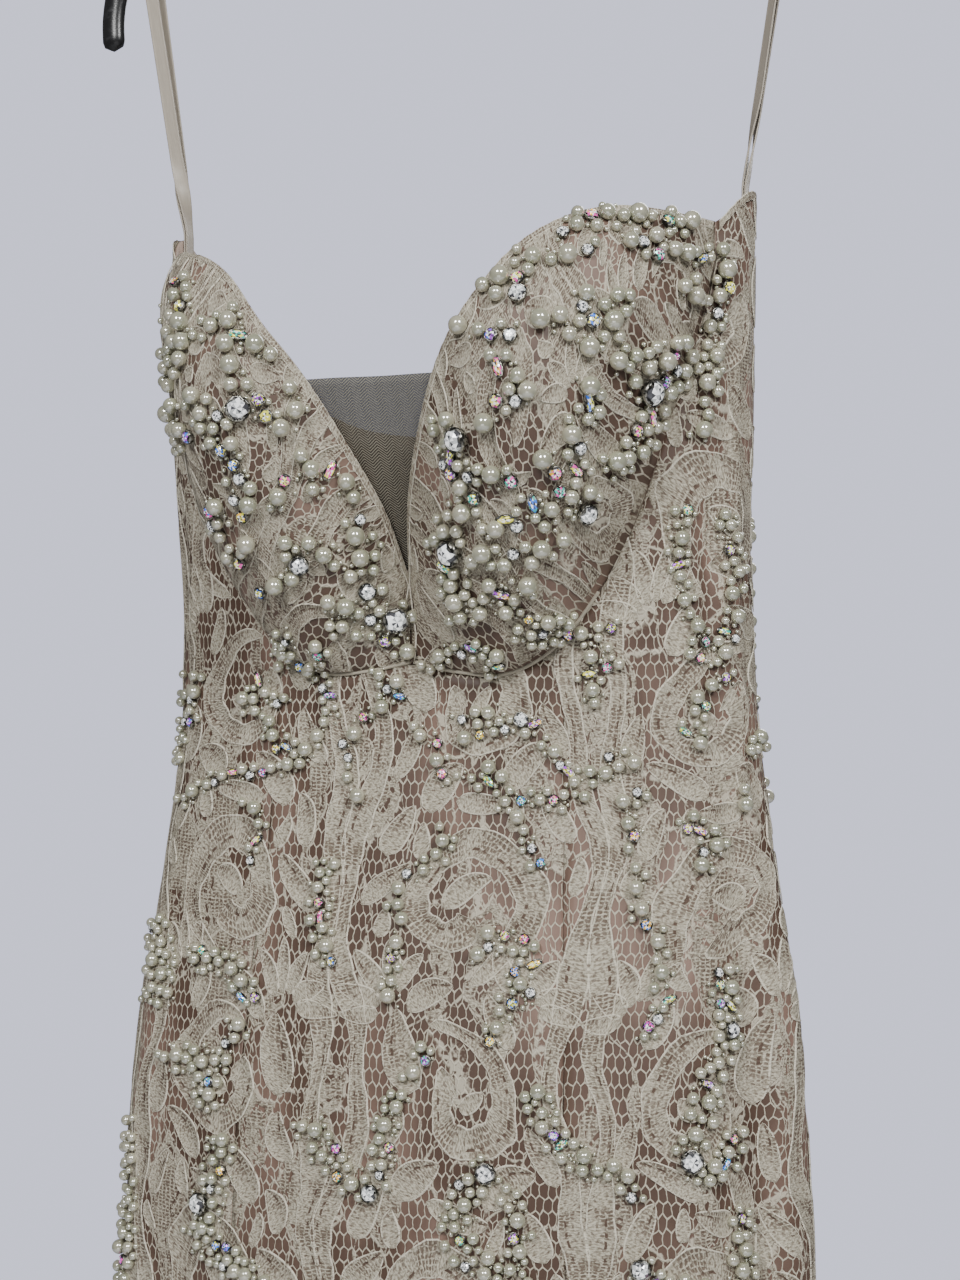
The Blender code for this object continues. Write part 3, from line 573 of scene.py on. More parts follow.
class Body(Cloth):
    """The gown below and beside the cups. u is the angle and v the drop."""

    def __init__(self) -> None:
        """Measures the way round the gown at every height."""
        self.drops = np.linspace(0, GOWN_LENGTH, 131)
        self.angles = np.linspace(-math.pi, math.pi, 721)
        d, a = np.meshgrid(self.drops, self.angles, indexing="ij")
        ring = self.form(a, d)
        steps = np.linalg.norm(np.diff(ring, axis=1), axis=2)
        reached = np.concatenate([np.zeros((len(self.drops), 1)), np.cumsum(steps, axis=1)], axis=1)
        self.reached = reached - reached[:, [360]]
        self.flat_places = np.linspace(-0.62, 0.62, 621)
        self.angle_of = np.stack([np.interp(self.flat_places, row, self.angles) for row in self.reached])

    def form(self, angle: Array, drop: Array) -> Array:
        """The outside of the gown without its fine creases, as the solids have it.

        Args:
            angle: Angles round the gown.
            drop: Drops below the top of the side seams.

        Returns:
            The points, with x, y and z last.
        """
        width = smooth(SECTIONS, "drop", "half_width", drop)
        front = smooth(SECTIONS, "drop", "front_depth", drop)
        back = smooth(SECTIONS, "drop", "back_depth", drop)
        depth = np.where(np.cos(angle) > 0, front, back)
        power = 2 / ROUNDNESS
        x = width * np.sign(np.sin(angle)) * np.abs(np.sin(angle)) ** power
        y = -depth * np.sign(np.cos(angle)) * np.abs(np.cos(angle)) ** power
        out = unit(columns_of(x / width**2, y / depth**2, 0 * x))
        height = np.zeros_like(x)
        for fold in FOLDS:
            away = (np.degrees(angle) - fold.angle_deg + 180) % 360 - 180
            shape = np.exp(-((away / fold.half_width_deg) ** 2))
            height = height + fold.height * shape * ramp(drop, fold.starts, fold.full)
        waves = smooth(HEM_WAVES, "drop", "height", drop) * np.cos(WAVE_COUNT * angle)
        height = height + np.where(drop > HEM_WAVES[0].drop, waves, 0.0)
        return columns_of(x, y, SIDE_TOP_Z - drop + 0 * x) + out * height[..., None]

    def point(self, u: Array, v: Array) -> Array:
        """The outside of the gown with its fine creases.

        Args:
            u: Angles round the gown.
            v: Drops below the top of the side seams.

        Returns:
            The points.
        """
        base = self.form(u, v)
        out = unit(base * np.array([1.0, 1.0, 0.0]))
        height = np.zeros(base.shape[:-1])
        for c in CREASES:
            along = np.array([(c.end_angle - c.angle_deg) * METRE_PER_DEGREE, c.end_drop - c.drop])
            length = float(np.linalg.norm(along))
            away = (np.degrees(u) - c.angle_deg + 180) % 360 - 180
            offset = columns_of(away * METRE_PER_DEGREE, v - c.drop)
            share = offset @ along / length**2
            side = (offset[..., 0] * along[1] - offset[..., 1] * along[0]) / length
            fade = ramp(share, -0.12, 0.25) * (1 - ramp(share, 0.70, 1.12))
            height += c.height_mm * 0.001 * fade * np.exp(-((side / (c.reach_mm * 0.001)) ** 2))
        ripple = 0.0005 * np.sin(u * 23 + v * 31) * np.sin(v * 47 - u * 11)
        edge = ramp(v, 0.03, 0.10)
        return base + out * ((height + ripple) * edge)[..., None]

    def look_up(self, table: Array, columns: Array, at: Array, drop: Array) -> Array:
        """Reads a table of rows by drop and columns by another measure, linearly.

        Args:
            table: The values.
            columns: The even places of its columns.
            at: The places to read along a row.
            drop: The drops to read at.

        Returns:
            The values.
        """
        r = np.clip(drop / self.drops[1], 0, len(self.drops) - 1.001)
        c = np.clip((at - columns[0]) / (columns[1] - columns[0]), 0, len(columns) - 1.001)
        r0, c0 = r.astype(int), c.astype(int)
        fr, fc = r - r0, c - c0
        top = table[r0, c0] * (1 - fc) + table[r0, c0 + 1] * fc
        low = table[r0 + 1, c0] * (1 - fc) + table[r0 + 1, c0 + 1] * fc
        return top * (1 - fr) + low * fr

    def angle_at(self, across: Array, drop: Array) -> Array:
        """The angles of points on the front.

        Args:
            across: How far across they lie.
            drop: Their drops.

        Returns:
            The angles.
        """
        width = smooth(SECTIONS, "drop", "half_width", drop)
        share = np.minimum(np.abs(across) / width, 1.0)
        return np.sign(across) * np.arcsin(share ** (ROUNDNESS / 2))

    def top(self, angle: Array) -> Array:
        """The body's top edge: the seam under the cups, the sides and the dipped back.

        Args:
            angle: Angles round the gown.

        Returns:
            The edge's drops there.
        """
        across = TOP_HALF_WIDTH * np.abs(np.sin(angle)) ** (2 / ROUNDNESS)
        line = curve_through(CUP_SEAM)
        under = np.interp(across, line[:, 0], line[:, 1])
        corner = NECKLINE[-1]
        side = np.interp(across, [corner.across + SEAM_GAP, TOP_HALF_WIDTH], [corner.drop, 0.0])
        front = np.where(across < CUP_SEAM[-1].across, under, side)
        back = BACK_DIP * (1 - np.abs(np.sin(angle)) ** BACK_DIP_POWER)
        return np.where(np.cos(angle) > 0, front, back)

    def laid(self, x: Array, y: Array) -> tuple[Array, Array, Array]:
        """Where flat lace lies on the body.

        Args:
            x: The way round from the centre front.
            y: Minus the drop.

        Returns:
            Angles, drops and whether each place is on the body.
        """
        drop = np.clip(-y, 0, GOWN_LENGTH)
        angle = self.look_up(self.angle_of, self.flat_places, x, drop)
        ends = math.pi - BACK_SEAM_ANGLE
        inside = (np.abs(angle) < ends) & (-y < GOWN_LENGTH)
        angle = np.clip(angle, -ends, ends)
        top = self.top(angle) + 0.0008
        inside &= drop > top
        return angle, np.clip(np.maximum(drop, top), 0, GOWN_LENGTH - 0.0005), inside

    def flat(self, u: Array, v: Array) -> Array:
        """The way round from the centre front, and minus the drop."""
        return columns_of(self.look_up(self.reached, self.angles, u, v), -v)


class Cup(Cloth):
    """A padded cup. u runs along the seam under it, and v up from the seam to the free edge."""

    step = (0.004, 0.006)

    def __init__(self, body: Body, side: int) -> None:
        """Sets out the seam and the free edge.

        Args:
            body: The form that the cup stands on.
            side: 1 for the wearer's left, and -1 for the right.
        """
        self.body = body
        self.side = side
        self.places = np.linspace(0, 1, 101)
        line = curve_through(CUP_SEAM)
        joint = int(np.argmin(np.abs(line[:, 0] - PRINCESS_SEAM[0].across)))
        inner = spaced(line[: joint + 1], CENTRE_STATIONS * FINENESS)
        outer = spaced(line[joint:], SIDE_STATIONS * FINENESS)
        self.joint = line[joint]
        self.seam = np.vstack([inner, outer[1:]])
        self.edge = spaced(curve_through(NECKLINE), len(self.seam) - 1)
        along = unit(np.gradient(self.seam, axis=0))
        self.low = self.seam + columns_of(-np.abs(along[:, 1]), -along[:, 0]) * SEAM_GAP / 2
        self.low[:, 0] = np.maximum(self.low[:, 0], SEAM_GAP / 2)
        self.high = self.edge.copy()
        self.high[:, 0] = np.maximum(self.high[:, 0], SEAM_GAP / 2)
        middle = self.left_point(self.places, np.full(len(self.places), 0.5))
        self.reached = reached_along(middle)
        u, v = np.meshgrid(self.places, np.linspace(0, 1, 21), indexing="ij")
        self.height = np.linalg.norm(np.diff(self.left_point(u, v), axis=1), axis=2).sum(axis=1)

    def left_point(self, u: Array, v: Array) -> Array:
        """A point of the cup as it is on the wearer's left.

        Args:
            u: Shares along the seam.
            v: Shares up from it.

        Returns:
            The points.
        """
        u, v = np.clip(u, 0, 1), np.clip(v, 0, 1)
        index = np.arange(len(self.seam)) / (len(self.seam) - 1)
        low = read_columns(u, index, self.low)
        place = low + (read_columns(u, index, self.high) - low) * v[..., None]
        rise = (1 - (1 - v) ** CUP_ROUNDNESS) ** (1 / CUP_ROUNDNESS)
        lift = smooth(CUP_FORM, "along", "edge_lift", u) * rise
        lift = lift + smooth(CUP_FORM, "along", "fullness", u) * np.sin(math.pi * v)
        angle = self.body.angle_at(place[..., 0], place[..., 1])
        base = self.body.form(angle, place[..., 1])
        return base + columns_of(0 * lift, -lift, 0 * lift)

    def point(self, u: Array, v: Array) -> Array:
        """The outside of the cup on its own side of the gown.

        Args:
            u: Shares along the seam.
            v: Shares up from it.

        Returns:
            The points.
        """
        p = self.left_point(u, v)
        if self.side > 0:
            return p
        u, v = np.clip(u, 0, 1), np.clip(v, 0, 1)
        sag = CUP_SAG * v**2 * ramp(u, 0.30, 0.62) * (1 - ramp(u, 0.82, 1.0))
        return p * np.array([-1.0, 1.0, 1.0]) - columns_of(0 * sag, 0 * sag, sag)

    def normal(self, u: Array, v: Array) -> Array:
        """The direction out of the cup, in line with the body's at the seam under it.

        Args:
            u: Shares along the seam.
            v: Shares up from it.

        Returns:
            Directions of length 1.
        """
        du, dv = self.step
        round_it = self.left_point(u + du, v) - self.left_point(u - du, v)
        up = self.left_point(u, v + dv) - self.left_point(u, v - dv)
        own = unit(np.cross(round_it, up))
        p = self.left_point(u, v)
        drop = SIDE_TOP_Z - p[..., 2]
        under = self.body.normal(self.body.angle_at(p[..., 0], drop), drop)
        blend = (ramp(v, 0.0, 0.16) * (1 - ramp(u, 0.9, 1.0)))[..., None]
        out = unit(under * (1 - blend) + own * blend)
        return out * np.array([float(self.side), 1.0, 1.0])

    def laid(self, x: Array, y: Array) -> tuple[Array, Array, Array]:
        """Where flat lace lies on the cup.

        Args:
            x: The way along from the centre front.
            y: The way up from the seam.

        Returns:
            u, v and whether each place is on the cup.
        """
        u = np.interp(x, self.reached, self.places)
        v = y / self.height_at(u)
        inside = (x > 0.001) & (x < self.reached[-1] - 0.001) & (v > 0.0) & (v < 1.0)
        return np.clip(u, 0.004, 0.996), np.clip(v, 0.01, 0.995), inside

    def flat(self, u: Array, v: Array) -> Array:
        """The way along the cup, and the way up from its seam."""
        return columns_of(np.interp(u, self.places, self.reached), v * self.height_at(u))

    def height_at(self, u: Array) -> Array:
        """How far it is from the seam to the free edge, over the cup."""
        return np.interp(u, self.places, self.height)


def link(made: Object) -> None:
    """Puts an object in the scene."""
    bpy.context.scene.collection.objects.link(made)


@dataclass
class MeshData:
    """Points and faces of a piece that is being made.

    Each face may have a colour and a material number of its own, and each corner point two flat
    coordinates.
    """

    points: list[Array] = field(default_factory=list)
    faces: list[Array] = field(default_factory=list)
    colours: list[Array] = field(default_factory=list)
    finishes: list[Array] = field(default_factory=list)
    flats: list[Array] = field(default_factory=list)
    shares: list[Array] = field(default_factory=list)
    count: int = 0

    def add(
        self,
        points: Array,
        faces: Array,
        colour: Array | None = None,
        finish: int = 0,
        flat: Array | None = None,
        share: Array | None = None,
    ) -> None:
        """Adds points and the faces between them.

        Args:
            points: The points, one row each.
            faces: Rows of 3 or 4 point numbers, counted within these points. The fourth may be -1.
            colour: One colour for each face, or one for all.
            finish: The number of the material.
            flat: Each point's place in the flat cloth, in metres.
            share: Each point's share across and along its own shape.
        """
        if faces.shape[1] == 3:
            faces = np.concatenate([faces, np.full((len(faces), 1), -1)], axis=1)
        self.add_faces(np.where(faces < 0, -1, faces + self.count), colour, finish)
        self.points.append(points)
        self.flats.append(np.zeros((len(points), 2)) if flat is None else flat)
        self.shares.append(np.zeros((len(points), 2)) if share is None else share)
        self.count += len(points)

    def add_faces(self, faces: Array, colour: Array | None = None, finish: int = 0) -> None:
        """Adds faces between points that are there.

        Args:
            faces: Rows of 4 point numbers, the fourth -1 in a triangle.
            colour: One colour for each face, or one for all.
            finish: The number of the material.
        """
        self.faces.append(faces)
        self.colours.append(np.broadcast_to(WHITE if colour is None else colour, (len(faces), 4)))
        self.finishes.append(np.full(len(faces), finish))

    def add_doubled(
        self, front: Array, back: Array, grid: tuple[int, int], flat: Array, finish: int
    ) -> None:
        """Adds a closed shell: a grid of points, its copy behind it and the rim between them.

        Args:
            front: The points in front.
            back: The points behind.
            grid: How many rows there are, and how many points in each.
            flat: The front points' places in the flat cloth.
            finish: The number of the material behind and on the rim.
        """
        faces, start = grid_faces(*grid), self.count
        self.add(np.concatenate([front, back]), faces, flat=np.concatenate([flat, flat]))
        self.add_faces(faces[:, ::-1] + len(front) + start, finish=finish)
        self.add_faces(rim_faces(*grid) + start, finish=finish)

    def piece(
        self, name: str, materials: Sequence[Material], slot: str, flat_shaded: bool = False
    ) -> Object:
        """Makes the object.

        Args:
            name: Its name.
            materials: Its materials, in the order of the finish numbers.
            slot: Not used.
            flat_shaded: True for facets that don't blend into each other.

        Returns:
            The object, linked to the scene.
        """
        points = np.concatenate(self.points)
        faces = np.concatenate(self.faces)
        sizes = np.where(faces[:, 3] < 0, 3, 4)
        corners = faces[np.arange(4)[None, :] < sizes[:, None]]
        mesh = bpy.data.meshes.new(name)
        mesh.vertices.add(len(points))
        mesh.vertices.foreach_set("co", points.astype(np.float32).ravel())
        mesh.loops.add(len(corners))
        mesh.loops.foreach_set("vertex_index", corners.astype(np.int32))
        mesh.polygons.add(len(faces))
        starts = np.concatenate([[0], np.cumsum(sizes)[:-1]]).astype(np.int32)
        mesh.polygons.foreach_set("loop_start", starts)
        mesh.polygons.foreach_set("material_index", np.concatenate(self.finishes).astype(np.int32))
        mesh.polygons.foreach_set("use_smooth", np.full(len(faces), not flat_shaded))
        for layer, values in (("weave", self.flats), ("share", self.shares)):
            uv = mesh.uv_layers.new(name=layer)
            uv.data.foreach_set("uv", np.concatenate(values)[corners].astype(np.float32).ravel())
        tint = mesh.color_attributes.new("tint", "FLOAT_COLOR", "CORNER")
        colours = np.repeat(np.concatenate(self.colours), sizes, axis=0)
        tint.data.foreach_set("color", colours.astype(np.float32).ravel())
        mesh.update(calc_edges=True)
        for material in materials:
            mesh.materials.append(material)
        made = bpy.data.objects.new(name, mesh)
        link(made)
        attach(made, "root")
        log.info("%s: %d faces", name, len(faces))
        return made


def grid_faces(rows: int, columns: int, closed: bool = False) -> Array:
    """The quads of a grid of points, row after row.

    Args:
        rows: How many rows of points it has.
        columns: How many points each row has.
        closed: True where the last column joins the first.

    Returns:
        Rows of 4 point numbers.
    """
    r = np.arange(rows - 1)[:, None]
    c = np.arange(columns if closed else columns - 1)[None, :]
    d = (c + 1) % columns
    a, b = r * columns + c, (r + 1) * columns + c
    e, f = (r + 1) * columns + d, r * columns + d
    return columns_of(a, b, e, f).reshape(-1, 4)


def rim_faces(rows: int, columns: int) -> Array:
    """The quads round the rim between a grid of points and its copy behind it.

    Args:
        rows: How many rows of points it has.
        columns: How many points each row has.

    Returns:
        Rows of 4 point numbers.
    """
    inner_rows = np.arange(1, rows) * columns
    last = (rows - 1) * columns
    back = last + np.arange(columns - 1)[::-1]
    rim = np.concatenate([np.arange(columns), inner_rows + columns - 1, back, inner_rows[-2::-1]])
    following = np.roll(rim, -1)
    return columns_of(rim, following, following + rows * columns, rim + rows * columns)


def maths(kind: str) -> Callable[..., "Value"]:
    """A method that puts one Math node of this kind on a value and others.

    Args:
        kind: The node's operation.

    Returns:
        The method, for an operator or a name.
    """

    def method(value: "Value", *others: "Value | float") -> "Value":
        """The node's result."""
        return value.nodes.add("ShaderNodeMath", {"operation": kind}, value, *others)

    return method


class Value:
    """A socket of a material's nodes, with arithmetic: numbers through Math, vectors through Vector Math."""

    __add__ = __radd__ = maths("ADD")
    __sub__ = maths("SUBTRACT")
    __mul__ = __rmul__ = maths("MULTIPLY")
    __truediv__ = maths("DIVIDE")
    __abs__ = maths("ABSOLUTE")
    __lt__ = maths("LESS_THAN")
    __gt__ = maths("GREATER_THAN")
    fraction = maths("FRACT")
    at_least = maths("MAXIMUM")
    at_most = maths("MINIMUM")

    def __init__(self, nodes: "Nodes", socket: NodeSocket) -> None:
        """Wraps one socket."""
        self.nodes = nodes
        self.socket = socket

    def __rsub__(self, other: float) -> "Value":
        """Difference from a number."""
        return self.nodes.add("ShaderNodeMath", {"operation": "SUBTRACT"}, other, self)

    def rise(self, start: float, end: float) -> "Value":
        """A smooth rise from 0 at start to 1 at end."""
        settings = {"interpolation_type": "SMOOTHSTEP"}
        return self.nodes.add("ShaderNodeMapRange", settings, self, start, end, 0.0, 1.0)

    def between(self, low: "tuple | Value", high: "tuple | Value") -> "Value":
        """A colour between two, by this share."""
        settings = {"data_type": "RGBA", "clamp_factor": True}
        return self.nodes.add("ShaderNodeMix", settings, {"Factor": self, 6: low, 7: high}, out=2)

    def part(self, axis: int) -> "Value":
        """One coordinate of a vector."""
        return self.nodes.add("ShaderNodeSeparateXYZ", {}, self, out=axis)

    def scaled(self, x: float, y: float, z: float = 1.0) -> "Value":
        """A vector, stretched."""
        return self.nodes.add("ShaderNodeVectorMath", {"operation": "MULTIPLY"}, self, (x, y, z))

    def moved(self, other: "Value | tuple") -> "Value":
        """A vector with another added."""
        return self.nodes.add("ShaderNodeVectorMath", {"operation": "ADD"}, self, other)

    def noise(self, scale: float, detail: float = 2.0, colour: bool = False) -> "Value":
        """A cloudy pattern over this vector."""
        inputs = {"Vector": self, "Scale": scale, "Detail": detail}
        return self.nodes.add("ShaderNodeTexNoise", {}, inputs, out="Color" if colour else 0)


class Nodes:
    """The nodes of one material, with the few calls that the finishes need."""

    def __init__(self, name: str) -> None:
        """Makes an empty material with a Principled surface."""
        self.material = bpy.data.materials.new(name)
        self.material.use_nodes = True
        self.tree = self.material.node_tree
        self.surface = self.tree.nodes["Principled BSDF"]

    def add(self, kind: str, settings: dict, *values: object, out: int | str = 0) -> Value:
        """Adds a node.

        Args:
            kind: The node's type.
            settings: Its settings, which are set first.
            values: Values or links for its sockets in order, or one dict by name or number.
            out: Which output is wanted.

        Returns:
            That output.
        """
        node = self.tree.nodes.new(kind)
        for key, value in settings.items():
            setattr(node, key, value)
        pairs = values[0].items() if len(values) == 1 and isinstance(values[0], dict) else enumerate(values)
        for key, value in pairs:
            self.put(node.inputs[key], value)
        return Value(self, node.outputs[out])

    def put(self, socket: NodeSocket, value: object) -> None:
        """Links or sets a socket.

        Args:
            socket: The socket.
            value: A value of the nodes, a colour or a number.
        """
        if isinstance(value, Value):
            self.tree.links.new(value.socket, socket)
        elif isinstance(value, tuple) and socket.type == "RGBA":
            socket.default_value = (*value[:3], 1.0)
        else:
            socket.default_value = value

    def flat_place(self, layer: str = "weave") -> Value:
        """The flat coordinates of a piece."""
        return self.add("ShaderNodeUVMap", {"uv_map": layer}, out=0)

    def object_place(self) -> Value:
        """The place in the object."""
        return self.add("ShaderNodeTexCoord", {}, out="Object")

    def tint(self) -> Value:
        """The colour that each face was given."""
        return self.add("ShaderNodeVertexColor", {"layer_name": "tint"}, out=0)

    def bump(self, height: Value, strength: float, distance: float) -> Value:
        """A bump from a height."""
        inputs = {"Strength": strength, "Distance": distance, "Height": height}
        return self.add("ShaderNodeBump", {}, inputs)

    def finish(self, **sockets: object) -> Material:
        """Sets the surface's sockets, named with underscores, and returns the material."""
        for name, value in sockets.items():
            self.put(self.surface.inputs[name.replace("_", " ").title().replace("Ior", "IOR")], value)
        return self.material


def cloth_grain(place: Value) -> tuple[Value, Value]:
    """The uneven crepe and ladder stitches of the lace's clothwork.

    Args:
        place: The flat place in metres.

    Returns:
        How light the threads are at each place, from 0 to 1, and how open the cloth is.
    """
    wobble = place.noise(260.0, 1.0, colour=True).scaled(0.0030, 0.0022, 0.0)
    spot = place.moved(wobble)
    column = abs((spot.part(0) / 0.0027).fraction() - 0.5)
    rung = abs((spot.part(1) / 0.0017).fraction() - 0.5)
    windows = column.rise(0.10, 0.22) * rung.rise(0.12, 0.26)
    ladder = place.noise(52.0, 1.0).rise(0.40, 0.56)
    scribble = place.scaled(1.0, 1.9).noise(640.0, 2.0).rise(0.34, 0.62)
    uneven = place.scaled(1.0, 0.5).noise(110.0, 2.0)
    pores = place.scaled(1.0, 1.3).noise(470.0, 1.0).rise(0.58, 0.65)
    open_share = (pores * 0.8 + windows * ladder).at_most(1.0)
    return scribble * 0.7 + uneven * 0.35, open_share


@dataclass(frozen=True)
class NetOverLining:
    """Hexagonal net over a taupe lining, with plain filled patches: the ground of the lace."""

    name: str
    cell_width: float
    cell_height: float
    thread: Colour = (0.51, 0.463, 0.364)
    # The lining seen through the net, between shade (painted shade) and the next colour (painted light).
    shade: Colour = (0.082, 0.046, 0.030)
    painted_light: Colour = (0.31, 0.200, 0.155)
    cloth_shade: Colour = (0.19, 0.158, 0.110)
    cloth_light: Colour = (0.585, 0.543, 0.428)

    def threads(self, n: Nodes) -> Value:
        """How much of a thread lies at each place.

        Args:
            n: The material's nodes.

        Returns:
            1 on a thread and 0 in a hole.
        """
        place = n.flat_place()
        drift = place.noise(170.0, 1.0, colour=True).scaled(0.0022, 0.0030, 0.0)
        place = place.moved(drift.moved((-0.0011, -0.0015, 0.0)))
        x = place.part(0) / self.cell_width
        y = place.part(1) / self.cell_height * (2 * HEXAGON)
        squares, distances = [], []
        for shift_x, shift_y in ((0.0, 0.0), (0.5, HEXAGON)):
            cx = (x + shift_x).fraction() - 0.5
            cy = ((y + shift_y) / (2 * HEXAGON)).fraction() * (2 * HEXAGON) - HEXAGON
            ax, ay = abs(cx), abs(cy)
            squares.append(cx * cx + cy * cy)
            distances.append((ax * 0.5 + ay * HEXAGON).at_least(ax))
        nearer = squares[0] < squares[1]
        edge = 0.5 - (distances[0] * nearer + distances[1] * (1 - nearer))
        thickness = place.noise(400.0, 1.0) * 0.05
        return 1 - (edge - thickness).rise(0.008, 0.056)

    def patches(self, n: Nodes) -> tuple[Value, Value, Value]:
        """Uneven long patches, some of them filled.

        Args:
            n: The material's nodes.

        Returns:
            Where the cloth is filled, the cord round every patch, and the row of holes inside it.
        """
        place = n.flat_place()
        drift = place.noise(34.0, 2.0, colour=True).scaled(0.026, 0.020, 0.0)
        spot = place.moved(drift).scaled(1.0, 0.40)
        fine = place.noise(620.0, 1.0) * 0.030
        inputs = {"Vector": spot, "Scale": 62.0, "Randomness": 0.9}
        edge = n.add("ShaderNodeTexVoronoi", {"feature": "DISTANCE_TO_EDGE"}, inputs, out="Distance")
        edge = edge + fine - 0.012
        pick = n.add("ShaderNodeTexVoronoi", {}, inputs, out="Color").part(0)
        filled = (pick > 0.66) * edge.rise(0.02, 0.035)
        cord = (1 - edge.rise(0.012, 0.034)) * place.noise(330.0, 1.0).rise(0.36, 0.50)
        near = 1 - abs(edge - 0.115).rise(0.020, 0.034)
        return filled, cord, near * place.noise(210.0, 0.0).rise(0.50, 0.54)

    def material(self) -> Material:
        """The finished material."""
        n = Nodes(self.name)
        threads = self.threads(n)
        filled, cord, holes = self.patches(n)
        place = n.flat_place()
        # The lining seen through the net: cloudy patches of painted shade and painted light, with darker
        # streaks.
        cloudy = place.scaled(1.0, 0.45).noise(17.0, 3.0).rise(0.44, 0.74)
        streaks = place.scaled(1.0, 0.12).noise(420.0, 2.0)
        lining = cloudy.between(self.shade, self.painted_light)
        lining = (streaks * 0.35).between(lining, tuple(0.6 * c for c in self.shade))
        light, pores = cloth_grain(place)
        cloth = light.between(self.cloth_shade, self.cloth_light)
        # Pores in the cloth show the lining behind in painted shade.
        cloth = (pores * 0.82).between(cloth, self.shade)
        cover = filled * (1 - holes)
        colour = cover.between(threads.between(lining, self.thread), cloth)
        colour = (cord * 0.7).between(colour, tuple(1.08 * c for c in self.cloth_light))
        height = threads * 0.5 + cover * (light * 0.5 + 0.4) + cord * 0.9
        return n.finish(base_color=colour, roughness=threads * 0.3 + 0.55, normal=n.bump(height, 0.8, 0.0006))


@dataclass(frozen=True)
class Clothwork:
    """The dense cream cloth of the lace's shapes, with a raised cord along its edges."""

    name: str
    shade: Colour = (0.195, 0.162, 0.112)
    cloth: Colour = (0.60, 0.558, 0.442)
    cord: Colour = (0.78, 0.732, 0.60)
    # The lining seen through holes, pores and slits, much darker than the lining itself: painted shade.
    shaded_hole: Colour = (0.105, 0.066, 0.046)

    def material(self) -> Material:
        """The finished material."""
        n = Nodes(self.name)
        place = n.flat_place()
        share = n.flat_place("share")
        across, holes = share.part(0), share.part(1)
        light, pores = cloth_grain(place)
        edge = abs(across).rise(0.76, 0.86) * place.noise(330.0, 1.0).rise(0.30, 0.44)
        dash = (place.part(1) / 0.0062 + place.noise(120.0, 0.0) * 1.2).fraction()
        aside = abs(across - 0.46 + place.noise(40.0, 0.0) * 0.3)
        slit = (abs(dash - 0.5) < 0.27) * (1 - aside.rise(0.05, 0.10))
        slit = slit * holes * place.noise(47.0, 0.0).rise(0.47, 0.50)
        tone = light.between(self.shade, self.cloth)
        # Pores and slits show the lining in painted shade.
        tone = (pores * 0.82).between(tone, self.shaded_hole)
        tone = (edge * 0.75).between(tone, self.cord)
        tone = slit.between(tone, self.shaded_hole)
        height = light * 0.7 - pores * 0.6 - slit + edge * 0.3
        return n.finish(base_color=tone, roughness=0.8, normal=n.bump(height, 0.75, 0.0005))


@dataclass(frozen=True)
class Pearl:
    """Ivory pearl with a soft coat of nacre."""

    name: str = "ivory_pearl"

    def material(self) -> Material:
        """The finished material."""
        n = Nodes(self.name)
        place = n.object_place()
        green = place.noise(70.0, 1.0).rise(0.35, 0.65)
        colour = green.between((0.34, 0.348, 0.222), (0.48, 0.458, 0.322))
        fine = place.noise(900.0, 2.0)
        colour = (fine * 0.2).between(colour, (0.52, 0.52, 0.42))
        return n.finish(
            base_color=colour,
            roughness=fine * 0.06 + 0.38,
            coat_weight=1.0,
            coat_roughness=0.08,
            coat_ior=4.0,
            specular_ior_level=0.6,
        )


@dataclass(frozen=True)
class Facet:
    """Cut stone: facets in the coating's hues, with painted glints, painted reflections and a painted glow.
    """

    name: str = "cut_stone_painted_glints"

    def material(self) -> Material:
        """The finished material."""
        n = Nodes(self.name)
        place = n.object_place()
        cloud = place.noise(800.0, 1.0)
        tint = n.tint()
        colour = (cloud * 0.10).between(tint, (0.9, 0.92, 0.95))
        return n.finish(
            base_color=colour,
            roughness=0.12,
            metallic=0.2,
            coat_weight=0.45,
            coat_roughness=0.04,
            # The facet colours glow too: painted light, though the stones are no lamp.
            emission_color=tint,
            emission_strength=0.75,
        )


@dataclass(frozen=True)
class Claw:
    """Darkened metal of the stones' settings."""

    name: str = "dark_setting"

    def material(self) -> Material:
        """The finished material."""
        n = Nodes(self.name)
        worn = n.object_place().noise(500.0, 2.0).rise(0.40, 0.60)
        colour = worn.between((0.05, 0.05, 0.045), (0.42, 0.41, 0.36))
        return n.finish(base_color=colour, roughness=worn * 0.15 + 0.2, metallic=0.9)


@dataclass(frozen=True)
class SheerNet:
    """Fine dark net with a chevron grain that can be seen through."""

    name: str = "sheer_chevron_net"

    def material(self) -> Material:
        """The finished material."""
        n = Nodes(self.name)
        place = n.flat_place()
        x, y = place.part(0), place.part(1)
        zigzag = abs((x / 0.0074).fraction() - 0.5) * 0.0058
        lines = ((y + zigzag) / 0.0012).fraction()
        ridge = abs(lines - 0.5).rise(0.20, 0.42)
        holes = place.noise(1500.0, 1.0)
        colour = ridge.between((0.018, 0.016, 0.012), (0.23, 0.215, 0.165))
        alpha = ridge * 0.26 + holes * 0.10 + 0.64
        return n.finish(base_color=colour, roughness=0.85, alpha=alpha)


@dataclass(frozen=True)
class Lining:
    """Smooth taupe lining inside the gown."""

    name: str = "taupe_lining"

    def material(self) -> Material:
        """The finished material."""
        n = Nodes(self.name)
        place = n.flat_place()
        weave = place.scaled(1.0, 0.2).noise(1300.0, 2.0)
        cloudy = place.noise(14.0, 2.0)
        colour = cloudy.between((0.30, 0.225, 0.18), (0.42, 0.32, 0.26))
        colour = (weave * 0.25).between(colour, (0.52, 0.41, 0.34))
        return n.finish(base_color=colour, roughness=0.5, normal=n.bump(weave, 0.25, 0.0002))


